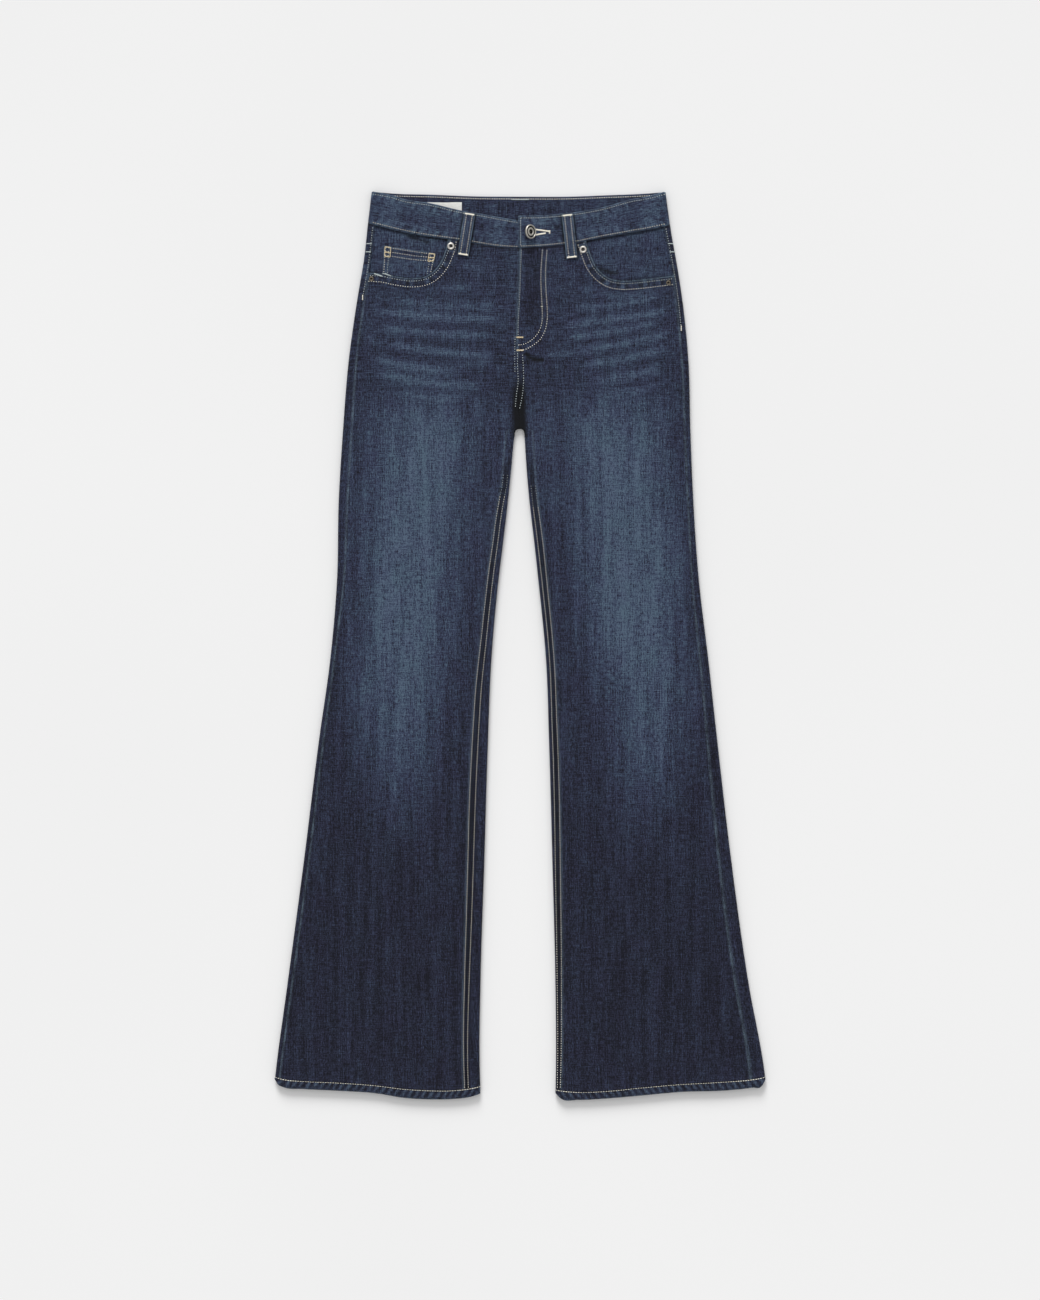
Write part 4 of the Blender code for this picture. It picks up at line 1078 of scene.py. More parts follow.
@dataclass
class Panels:
    """The large panels of one leg: front, back and yoke."""

    leg: Leg
    denim: Material
    row_step: float = 2.5
    hip_step: float = 2.3
    back_steps: tuple[float, float] = (2.8, 2.9)
    back_blend_steps: tuple[float, float] = (0.035, 0.023)
    yoke_step: float = 0.045
    top_rows: tuple[int, int] = (15, 22)
    top_share: float = 0.25
    top_straightening: int = 6
    fold_zone: float = 13.0
    fold_columns: int = 14
    seam_zone: float = 5.0
    seam_columns: int = 6
    waist_columns: int = 22
    opening_columns: int = 50
    wrap_columns: tuple[int, int, int, int] = (5, 10, 46, 18)
    hip_y: float = 385.0
    blend_y: float = -400.0
    blend_height: float = 128.0
    crotch_rows: tuple[float, float, float, float] = (259.7, 258.4, 259.6, 258.2)
    edge_gap: float = 0.06
    front_cut: Cut = Cut(0.262, 1.022, 0.183)
    back_cut: Cut = Cut(0.315, 1.010, 0.206)
    yoke_cut: Cut = Cut(0.207, 0.074, 0.0094)

    def front_columns(self, start: Array, end: Array) -> Array:
        """Distances outwards on each row: close by the inner fold and the outseam, even between."""
        count = self.waist_columns + self.opening_columns
        zone = np.linspace(0, self.fold_zone, self.fold_columns)[:-1]
        last = np.linspace(self.seam_zone, 0, self.seam_columns)
        middle = np.linspace(0, 1, count - self.seam_columns + 1)[:-1]
        a, b = start + self.fold_zone, end - self.seam_zone
        return np.concatenate((start + zone, a + (b - a) * middle, end - last), axis=1)

    def top_line(self) -> tuple[Array, Array]:
        """Top edge of the front: along the band's seam, then down and along the pocket opening."""
        leg = self.leg
        centre = leg.side * read_at(leg.centre_front, leg.band_seam(0))
        zone = centre + np.linspace(0, self.fold_zone, self.fold_columns)[:-1]
        opening = leg.opening
        run = np.linspace(0, len(opening) - 1, self.opening_columns + 1)
        place = np.arange(len(opening))
        open_w, open_y = (np.interp(run, place, opening[:, k]) for k in (0, 1))
        seam_w = np.linspace(self.fold_zone + centre, open_w[0], self.waist_columns)[:-1]
        first = np.concatenate((zone, seam_w))
        return np.concatenate((first, open_w)), np.concatenate((leg.band_seam(first), open_y))

    def front(self) -> Object:
        """Front of the leg, from the waistband and the pocket opening down to the hem.

        The first rows keep the shape of the top edge and straighten out by hip_y; the last
        bend in the same way to the hem's seam.
        """
        leg = self.leg
        top_w, top_y = self.top_line()
        close, wide = self.top_rows
        part = np.concatenate((
            np.linspace(0, self.top_share, close)[:-1], np.linspace(self.top_share, 1, wide)[:-1],
        ))[:, None]
        hip = cell(self.hip_y)
        low = self.front_columns(leg.front_start(hip), leg.outseam(hip))
        fraction = (low - low[0, 0]) / (low[0, -1] - low[0, 0])
        y = top_y + (self.hip_y - top_y) * part
        s = top_w + (low - top_w) * part
        s = s + (leg.front_start(y[:, :1]) - s[:, :1]) * (1 - fraction) ** self.top_straightening
        s = s + (leg.outseam(y[:, -1:]) - s[:, -1:]) * fraction ** self.top_straightening
        extra, next_row = self.crotch_rows[:2]
        upper = row_places(self.hip_y, CROTCH_Y, self.hip_step)
        lower = row_places(next_row, self.blend_y, self.row_step)
        straight = np.concatenate((upper, (extra,), lower))
        bend = row_places(0, 1, self.row_step / self.blend_height)[1:]
        start_y = np.concatenate((straight, np.full(len(bend), self.blend_y)))[:, None]
        blend = np.concatenate((np.zeros(len(straight)), bend))[:, None]

        def row(w: Array) -> Array:
            """Height y of each row at a distance outwards."""
            return start_y + (leg.hem_top(w) - start_y) * blend

        inner_y, outer_y = row(cell(HEM_INNER_W)), row(cell(HEM_OUTER_W))
        s_low = self.front_columns(leg.front_start(inner_y), leg.outseam(outer_y))
        s, y = np.concatenate((s, s_low)), np.concatenate((y, row(s_low)))
        y[0] -= self.edge_gap
        y[-1] += self.edge_gap
        cloth = leg.front_cloth(s, y)
        inner = cloth.points - CLOTH * cloth.normals
        piece = wall(
            "denim_front_" + leg.name, mirrored(leg, cloth.points), mirrored(leg, inner),
            self.denim, cloth.flat, cloth.wash_and_shade,
        )
        return dressed(
            piece, "denim", "front_" + leg.name, cut=self.front_cut, on="denim_back_" + leg.name,
        )

    def wrapped(
        self, name: str, start: Curve, finish_row: Curve, blend: Array,
        start_y: Optional[Array] = None,
    ) -> Object:
        """A panel that wraps round both folds.

        Each row lies between a start and an end curve of w: y = start + (end - start) * blend.

        Args:
            name: of the piece.
            start: first curve, where start_y isn't given.
            finish_row: last curve.
            blend: how far each row is from the first curve to the last.
            start_y: height that each row starts from, in place of the first curve.

        Returns:
            The new object.
        """
        leg = self.leg
        blend = blend[:, None]

        def row(w: Array) -> Array:
            """Height y of each row at a distance outwards."""
            first = start(w) if start_y is None else start_y[:, None] + 0 * w
            return first + (finish_row(w) - first) * blend

        y_outer = row(cell(HEM_OUTER_W))
        y_inner = row(cell(0.0 if start_y is None else HEM_INNER_W))
        flat, run, turn, lap = leg.back_spans(y_outer, y_inner)
        half = math.pi * FOLD_RADIUS
        tail = np.maximum(self.fold_zone, turn + lap)
        length = flat + half + run + turn + lap
        top, round_fold, beneath, last = (np.linspace(0, 1, count) for count in self.wrap_columns)
        t = np.concatenate((
            flat * top[:-1],
            flat + half * round_fold[:-1],
            flat + half + (length - tail - flat - half) * beneath[:-1],
            length - tail + tail * last,
        ), axis=1)
        cloth = leg.back_cloth(t, y_outer, y_inner, row)
        cloth.points[0, :, 1] -= self.edge_gap
        cloth.points[-1, :, 1] += self.edge_gap
        inner = cloth.points - CLOTH * cloth.normals
        return wall(
            name, mirrored(leg, cloth.points), mirrored(leg, inner), self.denim, cloth.flat,
            cloth.wash_and_shade,
        )

    def yoke(self) -> Object:
        """The yoke behind, from the waistband to the slanting yoke seam."""
        leg = self.leg
        piece = self.wrapped(
            "denim_yoke_" + leg.name, leg.band_seam_back, leg.yoke_seam,
            row_places(0, 1, self.yoke_step),
        )
        return dressed(piece, "denim", "yoke_" + leg.name, cut=self.yoke_cut)

    def back(self) -> Object:
        """The back of the leg, from the yoke seam down to the hem."""
        leg = self.leg
        extra, next_row = self.crotch_rows[2:]
        hips = row_places(self.hip_y, CROTCH_Y, self.back_steps[0])[1:]
        lower = row_places(next_row, self.blend_y, self.back_steps[1])
        straight = np.concatenate((hips, (extra,), lower))
        upper = row_places(0, 1, self.back_blend_steps[0])
        bend = row_places(0, 1, self.back_blend_steps[1])[1:]
        below = np.concatenate((straight, np.full(len(bend), self.blend_y)))
        blend = np.concatenate((upper, np.zeros(len(straight)), bend))
        start_y = np.concatenate((np.full(len(upper), self.hip_y), below))
        top = np.arange(len(blend)) < len(upper)
        blend = np.where(top, 1 - blend, blend)

        def target(w: Array) -> Array:
            """The yoke seam above the hips, the top of the hem below them."""
            return np.where(top[:, None], leg.yoke_seam(w), leg.hem_top(w))

        piece = self.wrapped("denim_back_" + leg.name, leg.yoke_seam, target, blend, start_y)
        return dressed(piece, "denim", "back_" + leg.name, cut=self.back_cut)


@dataclass
class Hem:
    """The turned-up hem: a ring of doubled cloth, round at its fold, that ropes a little."""

    leg: Leg
    denim: Material
    columns: int = 380
    fold_reach: float = 1.3
    seam_reach: float = 0.35
    rope_pitch: float = 8.2
    rope_slant: float = 7.0
    rope_depth: float = 0.28
    row_depth: tuple[float, float] = (0.25, 0.5)
    beneath_share: float = 0.25
    start_share: float = 0.72
    outer_face: float = 0.2
    cut: Cut = Cut(0.510, 0.0115, 0.0053)

    def rope(self, q: Array, share: Array) -> Array:
        """Ropes from -1 to 1: a sine of the distance round the leg, slanted and uneven."""
        return np.sin(
            2 * np.pi * (q + self.rope_slant * share) / self.rope_pitch + 0.8 * ripple(q, 47, 2)
        )

    def ring(self, share: Array, depth: Array) -> tuple[Array, Array]:
        """Points of the ring: a flat oval section at each share of the way up from the fold.

        The section runs along the top, half round the outer fold, back beneath and half round
        the inner fold, at HEM_RADIUS about the tube's middle.

        Args:
            share: of the hem's height, for each row of points.
            depth: below the outer face, for each row.

        Returns:
            The points, and their places on the cut cloth.
        """
        leg = self.leg

        def edge(w: Array) -> Array:
            """Height y of the ring at a distance outwards."""
            return leg.hem_edge(w) + (leg.hem_top(w) - leg.hem_edge(w)) * share

        outer, inner = leg.outer(edge(cell(HEM_OUTER_W))), leg.inner(edge(cell(HEM_INNER_W)))
        width, half = outer - inner - 2 * HEM_RADIUS, math.pi * HEM_RADIUS
        length = 2 * (width + half)
        q = (np.linspace(0, 1, self.columns + 1)[:-1] + self.start_share) % 1 * length
        top, first = np.clip(q, 0, width), np.clip(q - width, 0, half) / HEM_RADIUS
        low = np.clip(q - width - half, 0, width)
        second = np.clip(q - 2 * width - half, 0, half) / HEM_RADIUS
        turned = first + second
        w = (
            inner + HEM_RADIUS + top + HEM_RADIUS * (np.sin(first) + np.sin(turned) * (second > 0))
            - low
        )
        z = HEM_RADIUS + HEM_RADIUS * np.cos(turned)
        normal = np.stack((np.sin(turned), np.zeros_like(w), np.cos(turned)), -1)
        outside = depth < self.outer_face
        clear = normal[..., 2] > -0.2
        swell = np.sin(np.pi * np.clip(share, 0, 1)) ** 0.7
        bulge = self.rope_depth * self.rope(q, share) * swell * outside
        bulge = np.where(clear, bulge, self.beneath_share * np.minimum(bulge, 0))
        bulge = bulge - np.where(clear, *self.row_depth) * peak(share - ROW_SHARE, 0.05) * outside
        drop = np.where(normal[..., 2] > 0, leg.drape(w, edge(w)) * normal[..., 2], 0)
        points = np.stack((w, edge(w), z), -1) + normal * (bulge + drop - depth)[..., None]
        return points, np.stack((q, edge(w)), -1)

    def build(self) -> Object:
        """Makes the ring, rubbed along its ropes and darker between them, where the roping of the
        wash carries painted shade.
        """
        leg = self.leg
        height = self.cut.length * 1000
        across, depth = stadium(np.full(1, height), HEM_CLOTH, self.fold_reach, self.seam_reach, 14)
        share, deep = across / height, depth[:, None]
        grid, flat = self.ring(share, deep)
        round_leg, up, outside = flat[..., 0], grid[..., 2] > HEM_RADIUS, deep < self.outer_face
        rope = self.rope(round_leg, share)
        rub = 0.3 * ease(rope) * ease((share - 0.1) / 0.3) * ease((1 - share) / 0.2) * outside
        uneven = 0.6 + 0.4 * ripple(round_leg, 13, 1)
        rub = rub + 0.5 * peak(share - 0.04, 0.1) * uneven * (deep < 1)
        # Darker in the ropes' troughs, roping of the wash with painted shade on it, and darker
        # towards the hem's top.
        ink_tarnish_and_shade = 0.42 * ease(-rope) * outside + 0.3 * ease((share - 0.84) / 0.1) * outside
        fade = np.where(up, 0.18, 0.1) + 0.12 * rope
        wash_and_shade = WashAndShade(fade, *held(rub, ink_tarnish_and_shade))
        piece = tube("denim_hem_" + leg.name, mirrored(leg, grid), self.denim, flat, wash_and_shade, True)
        return dressed(piece, "denim", "hem_" + leg.name, cut=self.cut)


@dataclass
class Waistband:
    """Half the waistband, from the middle of the back round the side to the front end."""

    leg: Leg
    denim: Material
    edge_reach: float = 1.0
    seam_reach: float = 0.5
    outer_face: float = 0.2
    past_side: float = 1.6
    behind: float = 3.1
    slot_low: float = 1.8
    slot_height: float = 20.0
    cut: Cut = Cut(0.375, 0.037, 0.0131)

    def lift(self, w: Array) -> Array:
        """The left end sinks under the right end, which rises over it."""
        name = self.leg.name
        part = ease((LAP_START[name] - w) / (LAP_START[name] - LAP_FULL[name]))
        return part * (-UNDERLAP_SINK if self.leg.side < 0 else OVERLAP_LIFT)

    def detail(
        self, run: Array, w: Array, across: Array, width: Array, turned: Array,
    ) -> tuple[Array, Array]:
        """Soft waves of the band, and those with its puckers and the grooves of its stitching.

        Args:
            run: distance round the band.
            w: distance outwards.
            across: distance up from the band's seam.
            width: of the band.
            turned: angle round the fold at the side: 0 in front, pi behind.

        Returns:
            The soft waves, and the whole relief.
        """
        share = across / width
        stitch = -0.3 * bell(across - BAND_ROWS[0], GROOVE_WIDTH)
        stitch = stitch - 0.3 * bell(width - across - BAND_ROWS[1], GROOVE_WIDTH)
        near = peak(np.minimum(share, 1 - share), 0.2)
        pucker = 0.13 * ripple(run + 0.3 * across, 6.4, 3) * (0.35 + near)
        soft = 0.35 * ripple(run, 71, 1) * np.sin(np.pi * np.clip(share, 0, 1))
        if self.leg.side > 0:
            y = self.leg.band_seam(w) + across
            soft = soft + crease(w, y, BAND_CREASES)
            stitch = stitch - 0.3 * bell(w - OVERLAP_END - BAND_END_ROW, GROOVE_WIDTH) * (turned == 0)
        flat_below = np.where(turned > self.past_side, 0.3, 1.0)
        return soft, (stitch + pucker + soft * (turned < self.past_side)) * flat_below

    def front_height(self, w: Array, y: Array) -> Array:
        """Height of the band's front face."""
        low, high = self.leg.band_seam(w), self.leg.band_top(w)
        detail = self.detail(w, w, y - low, high - low, np.zeros_like(w))[1]
        return BAND_MIDDLE + BAND_RADIUS + self.lift(w) + detail

    def grid(self) -> tuple[Array, Array, WashAndShade]:
        """Points round the band: straight in front, half round the side, straight behind.

        Across the band each column is a stadium: flat on both faces, round at both edges.
        """
        leg = self.leg
        end = UNDERLAP_END if leg.side < 0 else OVERLAP_END
        outer = read_at(leg.outer, BAND_MIDDLE_Y)
        half = math.pi * BAND_RADIUS
        front = row_places(end, outer - BAND_RADIUS, 1.5)[:-1]
        turn = np.linspace(0, math.pi, 13)
        back = row_places(outer - BAND_RADIUS, 0.05, 2.2)[1:]
        w = np.concatenate((front, outer - BAND_RADIUS + BAND_RADIUS * np.sin(turn), back))
        turned = np.concatenate((np.zeros(len(front)), turn, np.full(len(back), math.pi)))
        run = np.concatenate((
            front, outer - BAND_RADIUS + half * turn / math.pi,
            outer - BAND_RADIUS + half + (outer - BAND_RADIUS - back),
        ))
        z = BAND_MIDDLE + BAND_RADIUS * np.cos(turned)
        z = z + np.where(turned == 0, self.lift(w), 0)
        behind = ease((UNDER + 1.8 * BAND_RADIUS - z) / (1.6 * BAND_RADIUS)) * (turned > 0)
        behind = np.where(turned > self.behind, 1, behind)
        low = leg.band_seam(w) * (1 - behind) + leg.band_seam_back(w) * behind + 0.05
        high = leg.band_top(w) * (1 - behind) + leg.band_top_back(w) * behind
        across, depth = stadium(high - low, BAND_CLOTH, self.seam_reach, self.edge_reach, 24)
        y = low + across
        side = leg.outer(y) - outer
        at_side = (turned > 0) & (turned <= self.behind)
        shift = side * np.where(at_side, 1, ease((w - 60) / 100))
        width = high - low
        face = (depth < self.outer_face)[:, None]
        soft, detail = self.detail(run, w, across, width, turned)
        normal = np.stack((np.sin(turned), np.zeros_like(turned), np.cos(turned)), -1)
        lift = np.where(face, detail, 0.5 * soft * (turned < self.past_side)) - depth[:, None]
        points = np.stack((w + shift, y, np.broadcast_to(z, y.shape)), -1) + normal * lift[..., None]
        edge = np.minimum(across, width - across)
        rub = 0.75 * peak(width - across, 0.9) * (0.7 + 0.3 * ripple(run, 17, 2))
        rub = rub + 0.3 * peak(across, 0.8)
        rub = rub + 0.20 * ease(ripple(run + across, 6.4, 3)) * peak(edge, 5)
        if leg.side > 0:
            rub = rub + 0.7 * peak(w - OVERLAP_END - 0.5, 0.7) * (turned == 0)
        # A dark line at the seam, and painted shade in the grooves of the rows of stitching.
        ink_tarnish_and_shade = 0.3 * peak(across - 1.0, 0.7) * face + 0.25 * peak(edge - 2.3, 0.8) * face
        edge_wear = peak(edge, 7.5)
        blotches = ripple(run + 0.7 * across, 15, 1) * ripple(across - 0.3 * run, 21, 2)
        fade = 0.54 + 0.2 * ripple(run, 43, 4) + 0.34 * blotches
        fade = fade + (0.24 + 0.8 * ripple(run + 0.5 * across, 8.6, 3)) * edge_wear
        fade = np.where(
            face | (depth[:, None] < 1.0), fade, 0.44 + 0.1 * ripple(run + 0.4 * across, 23, 3),
        )
        fade = np.where(turned > self.past_side, fade - 0.12, fade)
        # Painted shadow beside the loops on the band's face.
        ink_tarnish_and_shade = ink_tarnish_and_shade + face * (turned < self.past_side) * trim_shade(leg.side * (w + shift), y)
        ink_tarnish_and_shade = np.where(depth[:, None] > 1.8, 0.02 + 0 * ink_tarnish_and_shade, ink_tarnish_and_shade)
        wash_and_shade = WashAndShade(*held(fade, rub * (depth < 1.2)[:, None], ink_tarnish_and_shade))
        return points, np.stack((across, np.broadcast_to(run, across.shape)), -1), wash_and_shade

    def build(self) -> Object:
        """Makes the half, and cuts the buttonhole through the right one's end."""
        leg = self.leg
        points, flat, wash_and_shade = self.grid()
        piece = tube(
            "denim_waistband_" + leg.name, mirrored(leg, points), self.denim, flat, wash_and_shade, False,
        )
        if leg.side > 0:
            self.buttonhole(piece)
        return dressed(
            piece, "denim", "waistband_" + leg.name, cut=self.cut, on="denim_front_" + leg.name,
        )

    def buttonhole(self, piece: Object) -> None:
        """Cuts the slot that the shank spreads open, as an upright prism on its outline."""
        outline = np.array(SLOT_OUTLINE, float) + (0, SLOT_Y)
        count = len(outline)
        low = np.column_stack((outline, np.full(count, MIDDLE + self.slot_low)))
        high = low + (0, 0, self.slot_height)
        k = np.arange(count)
        m = (k + 1) % count
        sides = np.stack((k, m, m + count, k + count), 1)
        mesh = bpy.data.meshes.new("slot_cutter")
        faces = sides.tolist() + [list(range(count))[::-1], list(range(count, 2 * count))]
        mesh.from_pydata((np.concatenate((low, high)) * MM).tolist(), [], faces)
        cutter = bpy.data.objects.new("slot_cutter", mesh)
        bpy.context.scene.collection.objects.link(cutter)
        cut = piece.modifiers.new("slot", "BOOLEAN")
        cut.operation = "DIFFERENCE"
        cut.object = cutter
        bpy.context.view_layer.update()
        graph = bpy.context.evaluated_depsgraph_get()
        made = bpy.data.meshes.new_from_object(piece.evaluated_get(graph))
        piece.modifiers.clear()
        piece.data = made
        bpy.data.objects.remove(cutter)


@dataclass
class Pockets:
    """Facings and coin pocket in front, and the patch pockets behind."""

    leg: Leg
    denim: Material
    facing_cut: Cut = Cut(0.105, 0.078, 0.0060)
    coin_cut: Cut = Cut(0.063, 0.040, 0.0018)
    back_cut: Cut = Cut(0.132, 0.142, 0.0170)
    facing_fade: float = 0.42
    facing_gap: float = 0.05
    coin_size: tuple[float, float] = (60, 30)
    coin_steps: float = 1.3
    patch_size: tuple[float, float] = (132, 140)
    patch_steps: float = 2.4
    patch_clearance: float = 0.04
    patch_side_grooves: tuple[float, float] = (2, 7.5)
    patch_hem_grooves: tuple[float, float] = (3, 14)
    patch_across: float = 130
    coin_height: float = 32
    coin_across: float = 62

    def facing(self) -> Object:
        """The cloth seen inside the pocket opening; its lower edge lies under the front."""
        leg = self.leg
        t = np.linspace(0, 1, 52)
        place = np.arange(len(leg.opening))
        open_w, open_y = (np.interp(t * place[-1], place, leg.opening[:, k]) for k in (0, 1))
        low_w, low_y = open_w - FACING_UNDER_W * (1 - t), open_y - FACING_UNDER_Y + 4 * t
        high_w = low_w[0] + 2 + (read_at(leg.outseam, 504) - low_w[0] - 2) * t
        high_y = leg.band_seam(high_w) - self.facing_gap
        part = np.linspace(0, 1, 32)[:, None]
        w, y = low_w + (high_w - low_w) * part, low_y + (high_y - low_y) * part
        w[:, -1] = leg.outseam(y[:, -1]) - self.facing_gap
        x = leg.side * w
        folds = crease(x, y, leg.tucks)
        folds = folds + 0.14 * ripple(w + y, 19, 2) * ease(part * (1 - part) * 8)
        z = TOP + leg.form(w, y) - FACING_DROP + folds * ease((w - low_w[None] - 4) / 6)
        base = np.stack((w, y, z), -1)
        off = distance_to(w, y, leg.opening)[0]
        # Painted shadow under the front's edge at the opening and under the band, and painted shade
        # in the troughs of the folds.
        ink_tarnish_and_shade = (
            0.42 * peak(off, 2.4) + np.clip(-2.0 * folds - 0.2, 0, 0.8)
            + 0.8 * peak(high_y - y - 1.3, 1.4)
        )
        fade = (
            self.facing_fade + 0.10 * ripple(y + 0.2 * w, 13, 1)
            + 0.22 * ease((off - 6) / 20) * ease((20 - (high_y - y)) / 20)
        )
        wash_and_shade = WashAndShade(*held(fade, 0 * w, ink_tarnish_and_shade))
        piece = wall(
            "denim_facing_" + leg.name, mirrored(leg, base), mirrored(leg, base - PATCH_CLOTH * UP),
            self.denim, np.stack((w, y), -1), wash_and_shade,
        )
        return dressed(
            piece, "denim", "pocket_facing_" + leg.name, cut=self.facing_cut,
            on="denim_back_" + leg.name,
        )

    def coin_place(self, u: Array, v: Array) -> tuple[Array, Array]:
        """Place on the coin pocket: u from its outer to its inner side, v from low edge to top."""
        leg = self.leg
        line = Profile(leg.opening[leg.opening[:, 0] > 96][:: 4])
        high_w = COIN_TOP_OUTER[0] + (COIN_TOP_INNER[0] - COIN_TOP_OUTER[0]) * u
        high_y = COIN_TOP_OUTER[1] + (COIN_TOP_INNER[1] - COIN_TOP_OUTER[1]) * u
        low_w = COIN_LOW_OUTER + (COIN_LOW_INNER - COIN_LOW_OUTER) * u
        low_y = line(low_w) + COIN_CLEARANCE
        return low_w + (high_w - low_w) * v, low_y + (high_y - low_y) * v

    def coin_pocket(self) -> Object:
        """The small pocket on the left facing, cut off below by the pocket opening."""
        leg = self.leg
        u, rise_u = spaced(self.coin_size[0], self.coin_steps)
        v, rise_v = spaced(self.coin_size[1], self.coin_steps)
        w, y = self.coin_place(u[None, :], v[:, None])
        rise = np.minimum(rise_u[None, :], np.maximum(rise_v, (v < 0.5))[:, None])
        top = (1 - v)[:, None] * self.coin_height
        hem = ease((7 - top) / 1.5) - peak(top - 1.8, 0.7) - peak(top - 6.4, 0.7)
        ridge = 0.25 * hem + 0.1 * ripple(w, 3.4, 1) * peak(top - 4, 3)
        z = TOP + leg.form(w, y) - FACING_DROP + SEAM_GAP
        base = np.stack((w, y, z), -1)
        side = np.minimum(u, 1 - u)[None, :] * self.coin_across
        rub = 0.7 * peak(top, 0.8) + 0.4 * peak(side, 0.8)
        ink_tarnish_and_shade = 0.4 * peak(top - 4, 1.4) * (0.7 + 0.3 * ripple(w, 3.4, 1))
        wash_and_shade = WashAndShade(0.50 + 0.1 * ripple(w + y, 9, 2), *held(rub, ink_tarnish_and_shade))
        outer = base + UP * ridge[..., None] + UP * patch_lift(rise, PATCH_CLOTH)[..., None]
        piece = wall(
            "denim_coin_pocket", mirrored(leg, outer), mirrored(leg, base), self.denim,
            np.stack((w, y), -1), wash_and_shade,
        )
        return dressed(piece, "denim", "coin_pocket", cut=self.coin_cut, on="denim_facing_left")

    def back_place(self, u: Array, v: Array) -> tuple[Array, Array]:
        """Place on the back pocket: u from -1 to 1 across, v from 0 at the top to 1 at the point."""
        top, side, tip = BACK_POCKET_OUTLINE[1], BACK_POCKET_OUTLINE[2], BACK_POCKET_OUTLINE[3]
        across = u * (top[0] + (side[0] - top[0]) * v)
        down = v * (side[1] + (tip[1] - side[1]) * (1 - np.abs(u)))
        return BACK_POCKET_MIDDLE + across, BACK_POCKET_TOP + down + BACK_POCKET_SLOPE * across

    def back_pocket(self) -> Object:
        """A five-sided patch beneath the back, hemmed at its top and turned under at its sides."""
        leg = self.leg
        u, rise_u = spaced(self.patch_size[0], self.patch_steps)
        v, rise_v = spaced(self.patch_size[1], self.patch_steps)
        w, y = self.back_place((2 * u - 1)[None, :], v[:, None])
        rise = np.minimum(rise_u[None, :], rise_v[:, None])
        side = np.minimum(np.minimum(u, 1 - u)[None, :], (1 - v)[:, None]) * self.patch_across
        top = v[:, None] * self.patch_size[1]
        groove = 0.22 * sum(peak(side - row, GROOVE_WIDTH) for row in self.patch_side_grooves)
        groove = groove + 0.22 * sum(peak(top - row, GROOVE_WIDTH) for row in self.patch_hem_grooves)
        groove = groove + 0.08 * (1 + ripple(w + y, 7.5, 1)) * peak(side, 8)
        base = np.stack((w, y, np.full_like(w, PATCH_CLOTH)), -1)
        depth = patch_lift(rise, PATCH_CLOTH) - groove
        outer = base - UP * np.clip(depth, 0.3, PATCH_CLOTH - self.patch_clearance)[..., None]
        rub = 0.6 * peak(side, 1.2) + 0.55 * peak(top, 1.2)
        middle = np.exp(-(((2 * u - 1)[None, :] / 0.6) ** 2 + ((v[:, None] - 0.5) / 0.35) ** 2))
        # The grooves of the stitching and the turned edges are darkened with painted shade, by the
        # same depth that sinks them.
        wash_and_shade = WashAndShade(0.34 + 0.34 * middle + 0.05 * ripple(w, 17, 1), *held(rub, 0.8 * groove))
        piece = wall(
            "denim_back_pocket_" + leg.name, mirrored(leg, outer), mirrored(leg, base), self.denim,
            np.stack((w, y), -1), wash_and_shade,
        )
        return dressed(piece, "denim", "back_pocket_" + leg.name, cut=self.back_cut)


